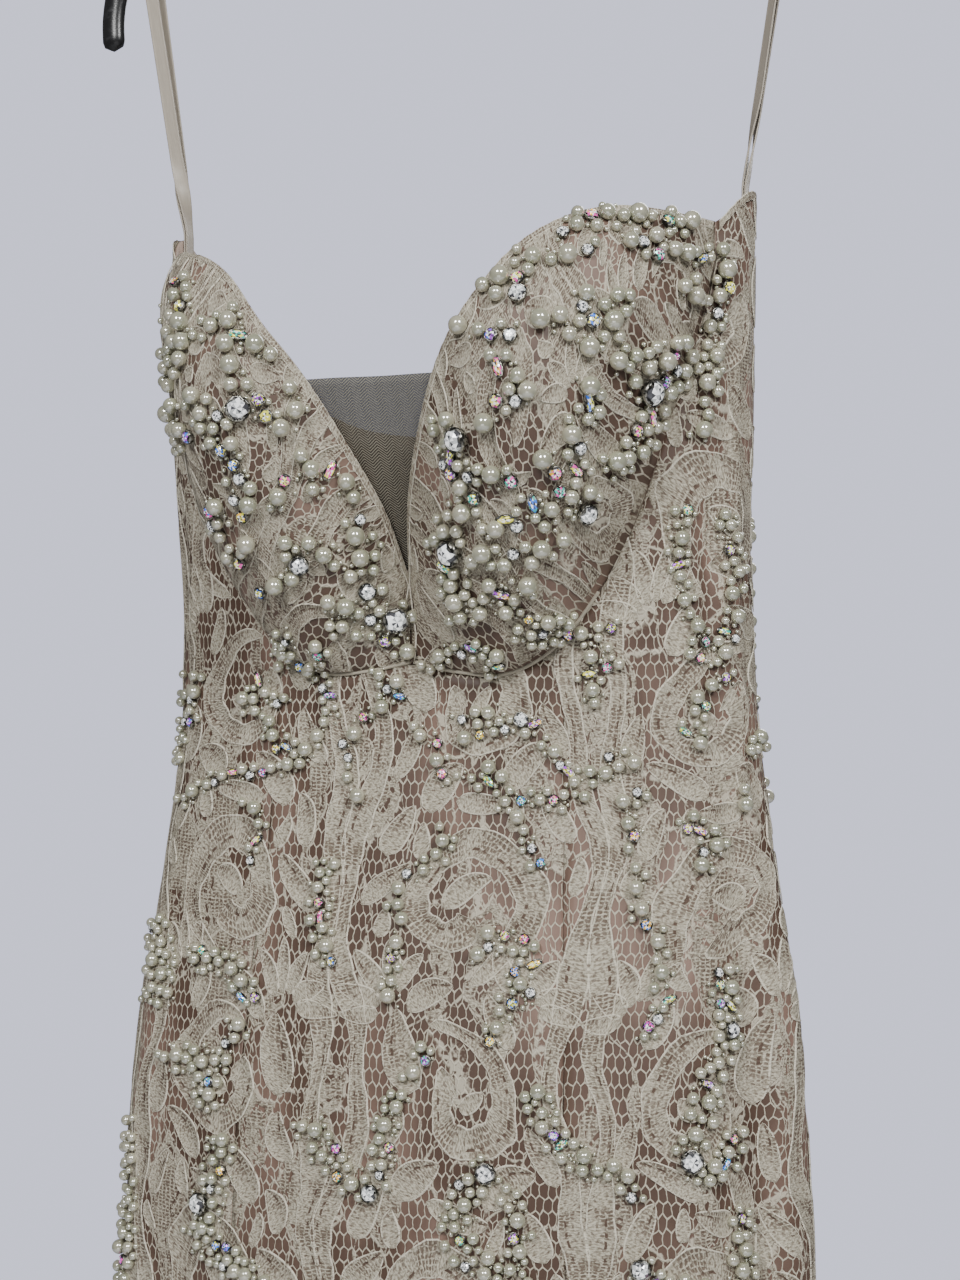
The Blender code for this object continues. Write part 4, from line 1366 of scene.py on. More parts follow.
@dataclass(frozen=True)
class Satin:
    """Taupe satin ribbon with woven edges."""

    name: str = "taupe_satin"

    def material(self) -> Material:
        """The finished material."""
        n = Nodes(self.name)
        place = n.flat_place()
        across = n.flat_place("share").part(0)
        threads = place.scaled(1.0, 0.04).noise(2600.0, 2.0)
        selvedge = abs(across).rise(0.78, 0.92)
        colour = threads.between((0.30, 0.262, 0.208), (0.46, 0.415, 0.345))
        colour = selvedge.between(colour, (0.36, 0.32, 0.26))
        bump = n.bump(threads * 0.5 + selvedge * 0.6, 0.35, 0.0002)
        return n.finish(base_color=colour, roughness=threads * 0.15 + 0.36, normal=bump)


@dataclass(frozen=True)
class MouldedPlastic:
    """Black moulded plastic with faint scuffs."""

    name: str = "black_moulded_plastic"

    def material(self) -> Material:
        """The finished material."""
        n = Nodes(self.name)
        place = n.object_place()
        grain = place.noise(1400.0, 2.0)
        scuffs = place.scaled(1.0, 5.0, 3.0).noise(140.0, 4.0).rise(0.58, 0.75)
        colour = (scuffs * 0.4).between((0.010, 0.010, 0.011), (0.045, 0.045, 0.048))
        roughness = grain * 0.1 + scuffs * 0.15 + 0.24
        return n.finish(base_color=colour, roughness=roughness, normal=n.bump(grain, 0.12, 0.0002))


@dataclass(frozen=True)
class WovenTape:
    """Plain woven zip tape, with its teeth beside it."""

    name: str = "woven_tape"

    def material(self) -> Material:
        """The finished material."""
        n = Nodes(self.name)
        place = n.flat_place()
        slant = abs((place.part(0) / 0.004).fraction() - 0.5) * 0.004
        rows = ((place.part(1) + slant) / 0.0007).fraction()
        rib = abs(rows - 0.5).rise(0.1, 0.45)
        colour = rib.between((0.50, 0.40, 0.33), (0.34, 0.26, 0.21))
        return n.finish(base_color=colour, roughness=0.8, normal=n.bump(rib, 0.5, 0.0003))


class Finishes:
    """Every material of the gown and its hanger."""

    def __init__(self) -> None:
        """Makes each of them."""
        # The cups' lining has lighter painted shade and painted light than the skirt's.
        cup_colours = {"shade": (0.094, 0.056, 0.039), "painted_light": (0.35, 0.232, 0.180)}
        self.skirt_ground = NetOverLining("net_on_skirt", 0.0037, 0.0122).material()
        self.cup_ground = NetOverLining("net_on_cups", 0.0049, 0.0112, **cup_colours).material()
        self.clothwork = Clothwork("cream_clothwork").material()
        self.lining = Lining().material()
        self.pearl = Pearl().material()
        self.stone = Facet().material()
        self.claw = Claw().material()
        self.sheer = SheerNet().material()
        self.satin = Satin().material()
        self.plastic = MouldedPlastic().material()
        self.tape = WovenTape().material()


class Cut(NamedTuple):
    """What a panel is cut to: its flat width, length and area."""

    width: float
    length: float
    area: float


@dataclass
class Panel:
    """One cut piece of the gown, as a grid of places on the cloth.

    u and v hold the places, row after row from the top, with the columns in the direction of
    growing angle. node is the solid that the piece replaces.
    """

    node: str
    cloth: Cloth
    u: Array
    v: Array
    wall: float
    cut: Cut
    ground: Material
    lining: Material

    def build(self) -> Object:
        """Makes the closed shell of the panel, ground outside and lining inside."""
        rows, columns = self.u.shape
        outer = self.cloth.point(self.u, self.v)
        out = self.cloth.normal(self.u, self.v)
        r = np.minimum(np.arange(rows), np.arange(rows)[::-1])[:, None]
        c = np.minimum(np.arange(columns), np.arange(columns)[::-1])[None, :]
        tuck = np.where((r == 0) | (c == 0), EDGE_TUCK, 0.0)
        outer = outer - out * tuck[..., None]
        inner = outer - out * (self.wall - 2 * EDGE_TUCK)
        flat = self.cloth.flat(self.u, self.v).reshape(-1, 2)
        data = MeshData()
        data.add_doubled(outer.reshape(-1, 3), inner.reshape(-1, 3), (rows, columns), flat, 1)
        made = data.piece(f"{self.node}_cloth", [self.ground, self.lining], COMMON_SLOT)
        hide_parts(self.node)
        return made


@dataclass
class Gown:
    """All the panels of the gown, cut as the solids are."""

    body: Body
    cups: dict[int, Cup]
    finishes: Finishes
    closer_rows_end: float = 0.60
    seam_fades_in: float = 0.07
    side_starts: float = 0.016
    dip_fades_by: float = 0.30

    def princess(self, drop: Array) -> Array:
        """How far from the centre the princess seams run.

        Args:
            drop: The drops to read at.

        Returns:
            The distances across.
        """
        joint = self.cups[1].joint
        at = smooth(PRINCESS_SEAM, "drop", "across", drop)
        return joint[0] + at - smooth(PRINCESS_SEAM, "drop", "across", joint[1])

    def gap_angle(self, angle: Array, drop: Array) -> Array:
        """The turn that makes half a seam gap.

        Args:
            angle: Angles round the gown.
            drop: Their drops.

        Returns:
            The turns, in radians.
        """
        step = 0.002
        way = self.body.form(angle + step, drop) - self.body.form(angle - step, drop)
        return SEAM_GAP / 2 / (np.linalg.norm(way, axis=-1) / (2 * step))

    def drops(self, start: float) -> Array:
        """The rows of a panel, closer in its upper half."""
        middle = self.closer_rows_end
        return np.concatenate([np.linspace(start, middle, 64)[:-1], np.linspace(middle, GOWN_LENGTH, 50)])

    def front_centre(self) -> Grid:
        """The grid of the panel between the princess seams."""
        cup = self.cups[1]
        half = spaced(cup.seam[: CENTRE_STATIONS * FINENESS + 1], 18)
        seam = np.concatenate([half[::-1] * [-1, 1], half[1:]])
        joint = cup.joint
        drop = self.drops(joint[1])[:, None]
        fade = 1 - ramp(drop, joint[1], joint[1] + self.seam_fades_in)
        here = drop + (seam[:, 1] + SEAM_GAP / 2 - joint[1]) * fade
        across = self.princess(drop) * seam[:, 0] / joint[0]
        angle = self.body.angle_at(across, here)
        gap = self.gap_angle(angle, here)
        angle[:, 0] += gap[:, 0]
        angle[:, -1] -= gap[:, -1]
        return angle, here

    def side_front(self, side: int) -> Grid:
        """The grid of a panel from the cup and the princess seam to the side seam.

        Args:
            side: 1 for the wearer's left, and -1 for the right.

        Returns:
            Its angles and drops.
        """
        cup = self.cups[1]
        joint = cup.joint
        upper = cup.seam[CENTRE_STATIONS * FINENESS :][::-3]
        first = cup.seam[-1, 1]
        share = (upper[:, 1] - first) / (joint[1] - first)
        lower = self.drops(joint[1])[1:]
        inner_x = np.concatenate([[cup.seam[-1, 0]], upper[:, 0], self.princess(lower)]) + SEAM_GAP / 2
        inner_drop = np.concatenate([[NECKLINE[-1].drop], upper[:, 1], lower])
        side_drops = self.side_starts + share * (joint[1] - self.side_starts)
        outer_drop = np.concatenate([[0.0], side_drops, lower])
        start = self.body.angle_at(inner_x, inner_drop)
        end = math.pi / 2 - self.gap_angle(np.full(len(start), side * math.pi / 2), outer_drop)
        t = np.linspace(0, 1, 29)[None, :]
        angle = side * (start[:, None] + (end - start)[:, None] * t)
        drop = inner_drop[:, None] + (outer_drop - inner_drop)[:, None] * t
        return (angle, drop) if side > 0 else (angle[:, ::-1], drop[:, ::-1])

    def back(self, side: int) -> Grid:
        """The grid of a back panel.

        Args:
            side: 1 for the wearer's left, and -1 for the right.

        Returns:
            Its angles and drops.
        """
        drop = self.drops(0.0)
        start = math.pi / 2 + self.gap_angle(np.full(len(drop), side * math.pi / 2), drop)
        end = math.pi - self.gap_angle(np.full(len(drop), side * math.pi), drop)
        t = np.linspace(0, 1, 40)[None, :]
        angle = start[:, None] + (end - start)[:, None] * t
        top = BACK_DIP * (1 - np.abs(np.sin(angle)) ** BACK_DIP_POWER)
        here = drop[:, None] + top * (1 - ramp(drop[:, None], 0.0, self.dip_fades_by))
        return (side * angle, here) if side > 0 else (side * angle[:, ::-1], here[:, ::-1])

    def cup(self, side: int) -> Grid:
        """The grid of a cup, from its free edge down."""
        v, u = np.meshgrid(np.linspace(1, 0, 40), np.linspace(0, 1, 58), indexing="ij")
        return (u, v) if side > 0 else (u[:, ::-1], v[:, ::-1])

    def panel(self, node: str, cloth: Cloth, grid: Grid, cut: Cut) -> Panel:
        """One panel, with the wall and the ground that its cloth has."""
        f = self.finishes
        wall, ground = (CUP_WALL, f.cup_ground) if cloth is not self.body else (PANEL_WALL, f.skirt_ground)
        return Panel(node, cloth, *grid, wall, cut, ground, f.lining)

    def panels(self) -> list[Panel]:
        """Every panel, with the size it was cut to."""
        made = [self.panel("front_centre", self.body, self.front_centre(), Cut(0.28, 1.11, 0.205))]
        for side, word in SIDES:
            side_front, back, cup = self.side_front(side), self.back(side), self.cup(side)
            made += [
                self.panel(f"side_front_{word}", self.body, side_front, Cut(0.26, 1.32, 0.18)),
                self.panel(f"back_{word}", self.body, back, Cut(0.38, 1.32, 0.30)),
                self.panel(f"cup_{word}", self.cups[side], cup, Cut(0.24, 0.16, 0.027)),
            ]
        return made


@dataclass
class Stroke:
    """One shape of the lace: its centre line in the flat, its half width along it, and its slits."""

    line: Array
    half: Array
    slits: float

    def discs(self) -> Array:
        """Round spots that cover it: x, y and radius."""
        pick = np.unique(np.linspace(0, len(self.line) - 1, max(4, len(self.line) // 2)).astype(int))
        return np.concatenate([self.line[pick], self.half[pick, None]], axis=1)


@dataclass
class LacePattern:
    """The repeat of the lace: placed shapes, with leaves grown between them."""

    seed: int = 7
    gap: float = 0.0013

    def scroll(self, m: Motif) -> list[Stroke]:
        """A scroll that winds in on itself.

        Args:
            m: The motif.

        Returns:
            Its strokes.
        """
        turns = abs(m.bend)
        t = np.linspace(0, 1, int(56 * turns / 1.4))
        hand = math.copysign(1.0, m.bend)
        phi = math.radians(m.turn) + hand * 2 * math.pi * turns * t
        radius = m.size * (1 - 0.70 * t ** 0.9)
        line = columns_of(m.x + radius * np.cos(phi), m.y + radius * np.sin(phi))
        half = m.width / 2 * (0.25 + 0.75 * np.sin(np.minimum(t / 0.3, 1) * math.pi / 2)) * (1 - 0.40 * t)
        half = half * (1 + 0.09 * np.sin(t * 2 * math.pi * 9 * turns))
        bulb = np.exp(-(((t - 0.95) / 0.06) ** 2)) * m.width * 0.14
        return [Stroke(line, self.rounded(half + bulb, t), 1.0)]

    def leaf(self, m: Motif) -> list[Stroke]:
        """A pointed leaf with a bent spine.

        Args:
            m: The motif.

        Returns:
            Its strokes.
        """
        t = np.linspace(0, 1, 12)
        turn = math.radians(m.turn)
        ahead = np.array([math.cos(turn), math.sin(turn)])
        aside = np.array([-ahead[1], ahead[0]])
        sway = m.size * math.sin(math.radians(m.bend)) * 0.5 * (t**2 - t)
        line = np.array([m.x, m.y]) + np.outer((t - 0.5) * m.size, ahead) + np.outer(sway, aside)
        half = m.width / 2 * np.sin(math.pi * t**0.75) ** 0.55
        return [Stroke(line, np.maximum(half, m.width * 0.04), float(m.size > 19))]

    def band(self, m: Motif) -> list[Stroke]:
        """A wavy band that runs on from one repeat to the next.

        Args:
            m: The motif.

        Returns:
            Its strokes.
        """
        t = np.linspace(0, 1, 46)
        y = t * REPEAT_HEIGHT * 1000
        x = m.x + m.size * m.bend * np.sin(2 * math.pi * t)
        half = m.width / 2 * (0.80 + 0.20 * np.cos(4 * math.pi * t) + 0.06 * np.sin(22 * math.pi * t))
        return [Stroke(columns_of(x, y), half, 1.0)]

    def fan(self, m: Motif) -> list[Stroke]:
        """Leaves that spread from one foot, as a shell.

        Args:
            m: The motif.

        Returns:
            Its strokes.
        """
        made = []
        for k in range(5):
            turn = m.turn + m.bend * (k / 4 - 0.5) * 2
            length = m.size * (1 - 0.18 * abs(k - 2) / 2)
            foot = 0.28 * m.size + length / 2
            x = m.x + foot * math.cos(math.radians(turn))
            y = m.y + foot * math.sin(math.radians(turn))
            made += self.leaf(Motif(MotifKind.LEAF, x, y, length, m.width, turn, 18 * (k - 2) / 2))
        return made

    @staticmethod
    def rounded(half: Array, t: Array) -> Array:
        """A half width that closes round at both ends."""
        ends = np.sqrt(np.clip(1 - (1 - np.minimum(np.minimum(t, 1 - t) / 0.035, 1)) ** 2, 0.01, 1))
        return half * ends

    def grown(self, placed: list[Stroke]) -> list[Stroke]:
        """Leaves and buds in the room that the placed shapes leave.

        Args:
            placed: The shapes that are there.

        Returns:
            The new ones.
        """
        rng = np.random.default_rng(self.seed)
        width, height = REPEAT_WIDTH * 1000, REPEAT_HEIGHT * 1000
        discs = np.concatenate([s.discs() for s in placed])
        discs = np.concatenate([discs + [0, k * height, 0] for k in (-1, 0, 1)])
        gap = self.gap * 1000
        made: list[Stroke] = []
        for size in [36] * 300 + [28] * 400 + [21] * 500 + [15] * 500:
            x, y = rng.uniform(2, width - 2), rng.uniform(0, height)
            lean = rng.choice([90, 90, 60, 120, 35, 145]) + rng.uniform(-14, 14)
            motif = Motif(MotifKind.LEAF, x, y, size, size * 0.43 + 1.5, lean, rng.uniform(-60, 60))
            grown = self.leaf(motif)[0]
            spots = grown.discs()
            if spots[:, 0].min() < 1.5 or spots[:, 0].max() > width - 1.5:
                continue
            away = np.linalg.norm(discs[None, :, :2] - spots[:, None, :2], axis=2)
            if (away - discs[None, :, 2] - spots[:, None, 2]).min() < gap:
                continue
            made.append(grown)
            discs = np.concatenate([discs, *[spots + [0, k * height, 0] for k in (-1, 0, 1)]])
        return made

    def strokes(self) -> list[Stroke]:
        """Every shape of one repeat, in metres."""
        makers: dict[MotifKind, Callable[[Motif], list[Stroke]]] = {
            MotifKind.SCROLL: self.scroll,
            MotifKind.LEAF: self.leaf,
            MotifKind.BAND: self.band,
            MotifKind.FAN: self.fan,
        }
        placed = [s for m in REPEAT for s in makers[m.kind](m)]
        every = placed + self.grown(placed)
        return [Stroke(s.line * 0.001, s.half * 0.001, s.slits) for s in every]


@dataclass
class LaceWork:
    """Lays the repeat's shapes on the cloth as raised clothwork with corded edges."""

    strokes: list[Stroke]
    cord_width: float = 0.00095
    cord_height: float = 0.00055
    cloth_height: float = 0.00028
    lift: float = 0.00012
    stacked: float = 0.00004
    full_from: float = 0.0015
    least_area: float = 2e-8

    def flat_mesh(self) -> tuple[Array, Array, Array, Array, Array]:
        """One repeat as a flat mesh.

        Returns:
            Flat points, heights, quads, each point's own weave coordinates and its shares.
        """
        rises = [0, self.cord_height, self.cloth_height * 0.7]
        rise = np.array([*rises, self.cloth_height, *rises[::-1]])
        share = np.array([-1.0, -0.9, -0.7, 0.0, 0.7, 0.9, 1.0])
        points, heights, faces, weave, shares = [], [], [], [], []
        count = 0
        for index, s in enumerate(self.strokes):
            along = unit(np.gradient(s.line, axis=0))
            aside = columns_of(-along[:, 1], along[:, 0])
            reached = reached_along(s.line)
            h = s.half
            cord = np.minimum(self.cord_width, h * 0.5)
            offsets = columns_of(-h, -h + cord * 0.5, -h + cord, 0 * h, h - cord, h - cord * 0.5, h)
            points.append((s.line[:, None, :] + aside[:, None, :] * offsets[..., None]).reshape(-1, 2))
            small = np.minimum(h / self.full_from, 1.0)[:, None]
            heights.append((rise[None, :] * small + self.lift + self.stacked * (index % 5)).ravel())
            faces.append(grid_faces(len(s.line), 7) + count)
            weave.append(paired(offsets, reached[:, None]))
            shares.append(paired(share, np.full((len(s.line), 7), s.slits)))
            count += len(s.line) * 7
        return tuple(np.concatenate(part) for part in (points, heights, faces, weave, shares))

    def lay(self, cloth: Cloth, places: list[tuple[float, float, bool, float]]) -> MeshData:
        """Lays copies of the repeat.

        Args:
            cloth: What they lie on.
            places: For each copy, the flat place of its corner, whether it is mirrored, and its scale.

        Returns:
            The lace on the cloth.
        """
        flat, heights, faces, weave, shares = self.flat_mesh()
        data = MeshData()
        for x, y, mirrored, scale in places:
            fx = (REPEAT_WIDTH - flat[:, 0] if mirrored else flat[:, 0]) * scale + x
            fy = flat[:, 1] * scale + y
            drift_x = 0.0042 * np.sin(fy * 41 + fx * 17) + 0.0022 * np.sin(fy * 103 - fx * 71 + 1.0)
            drift_y = 0.0042 * np.sin(fx * 47 - fy * 13 + 2.0) + 0.0020 * np.sin(fx * 109 + fy * 67)
            u, v, inside = cloth.laid(fx + drift_x, fy + drift_y)
            kept = faces[inside[faces].any(axis=1)]
            if not len(kept):
                continue
            used, compact = np.unique(kept, return_inverse=True)
            u, v = u[used], v[used]
            compact = compact.reshape(-1, 4)
            if mirrored:
                compact = compact[:, ::-1]
            points = cloth.point(u, v) + cloth.normal(u, v) * heights[used, None]
            corner = points[compact]
            area = np.linalg.norm(np.cross(corner[:, 2] - corner[:, 0], corner[:, 3] - corner[:, 1]), axis=1)
            data.add(points, compact[area > self.least_area], flat=weave[used], share=shares[used])
        return data


@dataclass
class EdgeBand:
    """The folded-over cloth along a free edge."""

    cloth: Cloth
    half: float = 0.0021
    inset: float = 0.0003
    lift: float = 0.00022

    def lay(self, data: MeshData, u: Array, edge: Array, each_metre: Array) -> None:
        """Adds the band to the lace.

        Args:
            data: The lace on the cloth.
            u: The places along the edge.
            edge: The edge's v at each place.
            each_metre: How far v goes for a metre in from the edge.
        """
        share = np.array([-1.0, -0.9, -0.6, 0.0, 0.6, 0.9, 1.0])
        rise = np.array([0.0, 0.00045, 0.00034, 0.00036, 0.00030, 0.00050, 0.0])
        wave = 1 + 0.12 * np.sin(np.arange(len(u)) * 1.9)
        away = (share[None, :] * wave[:, None] + 1) * self.half + self.inset
        v = edge[:, None] + away * each_metre[:, None]
        across = np.repeat(u[:, None], 7, axis=1)
        out = self.cloth.normal(across, v)
        points = self.cloth.point(across, v) + out * (rise + self.lift)[None, :, None]
        weave = paired(share * self.half, reached_along(points[:, 3])[:, None])
        shares = paired(share, np.zeros((len(u), 7)))
        faces = grid_faces(len(u), 7)
        points = points.reshape(-1, 3)
        corner = points[faces[0]]
        first_out = self.cloth.normal(u[:1], edge[:1])[0]
        front = np.cross(corner[1] - corner[0], corner[3] - corner[0]) @ first_out > 0
        data.add(points, faces if front else faces[:, ::-1], flat=weave, share=shares)


class BeadKind(Enum):
    """What is sewn on the lace."""

    PEARL = "pearl"
    SEED = "seed"
    CLEAR = "clear"
    RAINBOW = "rainbow"
    BOAT = "boat"


ROUND_BEADS = (BeadKind.PEARL, BeadKind.SEED)


class BeadPlan(NamedTuple):
    """One turn of filling a spray: what, its radius, tries for a square metre and reach aside."""

    kind: BeadKind
    radius: float
    tries: int
    reach: float


FILL_PLAN = table(
    BeadPlan,
    (BeadKind.PEARL, 0.00420, 300, 0.70),
    (BeadKind.RAINBOW, 0.00315, 470, 0.95),
    (BeadKind.CLEAR, 0.00290, 270, 0.80),
    (BeadKind.BOAT, 0.00270, 220, 0.60),
    (BeadKind.PEARL, 0.00345, 4200, 0.95),
    (BeadKind.PEARL, 0.00290, 13000, 1.0),
    (BeadKind.PEARL, 0.00235, 9000, 1.15),
    (BeadKind.SEED, 0.00110, 5200, 1.25),
    (BeadKind.PEARL, 0.00170, 5200, 1.25),
)


@dataclass
class Bead:
    """One bead or stone on the lace."""

    place: Array
    out: Array
    radius: float
    kind: BeadKind
    spin: float

    def home(self) -> str:
        """The panel that it is counted with."""
        x, y, z = self.place
        if y >= 0:
            return "back_left"
        if z <= SIDE_TOP_Z - CUP_BEADS_END:
            return "front_centre"
        return "cup_left" if x > 0 else "cup_right"


@dataclass
class PhotoView:
    """The photograph's camera, which also finds where a pixel lies on the gown."""

    tree: BVHTree
    ahead: Vector = Vector((-math.sin(CAMERA_TURN), math.cos(CAMERA_TURN), 0))
    right: Vector = Vector((math.cos(CAMERA_TURN), math.sin(CAMERA_TURN), 0))
    up: Vector = Vector((0, 0, 1))

    def camera(self) -> Object:
        """Makes the camera."""
        data = bpy.data.cameras.new("photo_camera")
        data.sensor_fit = "AUTO"
        data.sensor_width = SENSOR_MM
        data.lens = FOCAL_PIXELS * SENSOR_MM / PHOTO_HEIGHT
        made = bpy.data.objects.new("photo_camera", data)
        made.location = CAMERA_PLACE
        made.rotation_euler = self.ahead.to_track_quat("-Z", "Y").to_euler()
        link(made)
        bpy.context.scene.camera = made
        return made

    def seat(self, x: float, y: float) -> Grid | None:
        """Where a pixel lies on the gown.

        Args:
            x: Pixels from the left edge of the photograph.
            y: Pixels from its top.

        Returns:
            The point and the direction out of the cloth, or None beside the gown.
        """
        ray = self.ahead + self.right * ((x - PHOTO_WIDTH / 2) / FOCAL_PIXELS)
        ray = ray + self.up * ((PHOTO_HEIGHT / 2 - y) / FOCAL_PIXELS)
        place, normal, _, _ = self.tree.ray_cast(CAMERA_PLACE, ray.normalized())
        if place is None:
            return None
        return np.array(place), np.array(normal)


@dataclass
class Beadwork:
    """The pearls and stones, packed along their sprays without touching each other."""

    view: PhotoView
    body: Body
    tree: BVHTree
    beads: list[Bead] = field(default_factory=list)
    seed: int = 11

    def __post_init__(self) -> None:
        """Starts the seeded choice of sizes and places."""
        self.rng = np.random.default_rng(self.seed)
        self.taken = np.zeros((0, 4))

    def fits(self, place: Array, radius: float, slack: float = 0.0002) -> bool:
        """Whether a bead touches none that is there.

        Args:
            place: Its middle.
            radius: Its radius.
            slack: How far it may reach into another.

        Returns:
            True where there is room.
        """
        if not len(self.taken):
            return True
        away = np.linalg.norm(self.taken[:, :3] - place, axis=1)
        return bool((away - self.taken[:, 3] - radius).min() > -slack)

    def put(self, place: Array, out: Array, radius: float, kind: BeadKind) -> None:
        """Adds a bead where there is room.

        Args:
            place: The point of the cloth under it.
            out: The direction out of the cloth.
            radius: Its radius.
            kind: What it is.
        """
        centre = place + out * radius * BEAD_SEAT
        if self.fits(centre, radius):
            spin = float(self.rng.uniform(0, 2 * math.pi))
            self.beads.append(Bead(centre, out, radius, kind, spin))
            self.taken = np.vstack([self.taken, [*centre, radius]])

    def fill(
        self,
        find: Finder,
        area: float,
        scale: float,
        closeness: float = 1.0,
    ) -> None:
        """Fills one spray, the largest beads first.

        Args:
            find: Gives the cloth at a share along and a share aside, from -1 to 1.
            area: The spray's area in square metres.
            scale: How large its beads are, as a share of the cups' ones.
            closeness: How many more tries its pearls get than in an even spray.
        """
        for turn in FILL_PLAN:
            more = closeness if turn.kind in ROUND_BEADS else 1.0
            for _ in range(int(area * turn.tries * TRIES_EACH * more) + 1):
                along = self.rng.uniform(0, 1)
                aside = np.clip(self.rng.normal(0, 0.5), -1, 1) * turn.reach
                found = find(along, aside)
                if found is not None:
                    size = turn.radius * scale * self.rng.uniform(0.93, 1.05)
                    self.put(*found, size, turn.kind)

    def photo_spray(self, s: Spray, scale: float, closeness: float) -> None:
        """Beads along one spray of the photograph.

        Args:
            s: The spray.
            scale: How large its beads are, as a share of the cups' ones.
            closeness: How many more tries its pearls get than in an even spray.
        """
        ends = (s.x, s.y), (s.mid_x, s.mid_y), (s.end_x, s.end_y)
        samples = bend(*ends, np.linspace(0, 1, 30))
        area = float(steps_of(samples).sum()) * METRE_PER_PIXEL * s.half_width * 2 * METRE_PER_PIXEL

        def find(along: float, aside: float) -> Grid | None:
            """The cloth at a place of the spray."""
            p = bend(*ends, np.array([along, along + 0.01]))
            way = p[1] - p[0]
            way = way / max(float(np.linalg.norm(way)), 1e-9)
            spot = p[0] + np.array([-way[1], way[0]]) * aside * s.half_width
            return self.view.seat(float(spot[0]), float(spot[1]))

        self.fill(find, area, scale, closeness)

    def seat_spray(self, s: SeatSpray, side: int) -> None:
        """Beads along one spray that is placed by angle and drop.

        Args:
            s: The spray.
            side: 1 as it is, and -1 mirrored.
        """
        ends = (s.angle_deg, s.drop), (s.mid_angle, s.mid_drop), (s.end_angle, s.end_drop)
        samples = bend(*ends, np.linspace(0, 1, 60))
        angles = np.radians(samples[:, 0] * side)
        line = self.body.point(angles, samples[:, 1])
        outs = self.body.normal(angles, samples[:, 1])
        asides = np.cross(outs, unit(np.gradient(line, axis=0)))
        area = float(steps_of(line).sum()) * s.half_width * 2

        def find(along: float, aside: float) -> Grid | None:
            """The cloth at a place of the spray."""
            at = int(along * 59)
            out = outs[at]
            spot = line[at] + asides[at] * aside * s.half_width
            place, normal, _, _ = self.tree.find_nearest(Vector(spot))
            return (np.array(place), np.array(normal)) if normal.dot(Vector(out)) > SAME_SIDE else None

        self.fill(find, area, BACK_BEAD_SCALE)

    def build(self) -> None:
        """Places every bead: the large stones, the cups, the body, then the back."""
        for stone in CLEAR_STONES:
            found = self.view.seat(stone.x, stone.y)
            if found is not None:
                self.put(*found, stone.size_mm * 0.0005, BeadKind.CLEAR)
        for spray in CUP_SPRAYS:
            closeness = RIGHT_CUP_CLOSENESS if spray.x < RIGHT_CUP_ENDS_X else LEFT_CUP_CLOSENESS
            self.photo_spray(spray, 1.0, closeness)
        for spray in BODY_SPRAYS:
            self.photo_spray(spray, BODY_BEAD_SCALE, BODY_CLOSENESS)
        on_front = len(self.beads)
        for spray in BACK_SPRAYS:
            for side, _ in SIDES:
                self.seat_spray(spray, side)
        self.round_to_back()
        log.info("beads: %d in front, %d in all", on_front, len(self.beads))

    def round_to_back(self) -> None:
        """Repeats the front's body sprays on the back, turned to its form."""
        for bead in list(self.beads):
            drop = SIDE_TOP_Z - float(bead.place[2])
            if drop < TURNED_FROM_DROP or bead.place[1] > TURNED_FROM_Y:
                continue
            angle = float(self.body.angle_at(np.array(bead.place[0]), np.array(drop)))
            turned = np.array([math.pi - angle if angle > 0 else -math.pi - angle])
            spot = self.body.point(turned, np.array([drop]))[0]
            place, normal, _, _ = self.tree.find_nearest(Vector(spot))
            if normal.y > -0.2:
                self.put(np.array(place), np.array(normal), bead.radius, bead.kind)


def ball(rings: int, sides: int) -> Grid:
    """A sphere of radius 1.

    Args:
        rings: Its rings between the poles.
        sides: Its points round each ring.

    Returns:
        Points and triangles.
    """
    phi = np.pi * np.arange(1, rings + 1) / (rings + 1)
    turn = 2 * np.pi * np.arange(sides) / sides
    x = np.outer(np.sin(phi), np.cos(turn)).ravel()
    y = np.outer(np.sin(phi), np.sin(turn)).ravel()
    z = np.repeat(np.cos(phi), sides)
    points = np.vstack([[0, 0, 1], columns_of(x, y, z), [0, 0, -1]])
    quads = grid_faces(rings, sides, closed=True) + 1
    triangles = np.concatenate([quads[:, [0, 1, 2]], quads[:, [0, 2, 3]]])
    c = np.arange(sides)
    d = (c + 1) % sides
    last = len(points) - 1
    top = columns_of(np.zeros(sides, int), c + 1, d + 1)
    low = columns_of(np.full(sides, last), last - sides + d, last - sides + c)
    return points, np.concatenate([top, triangles, low])


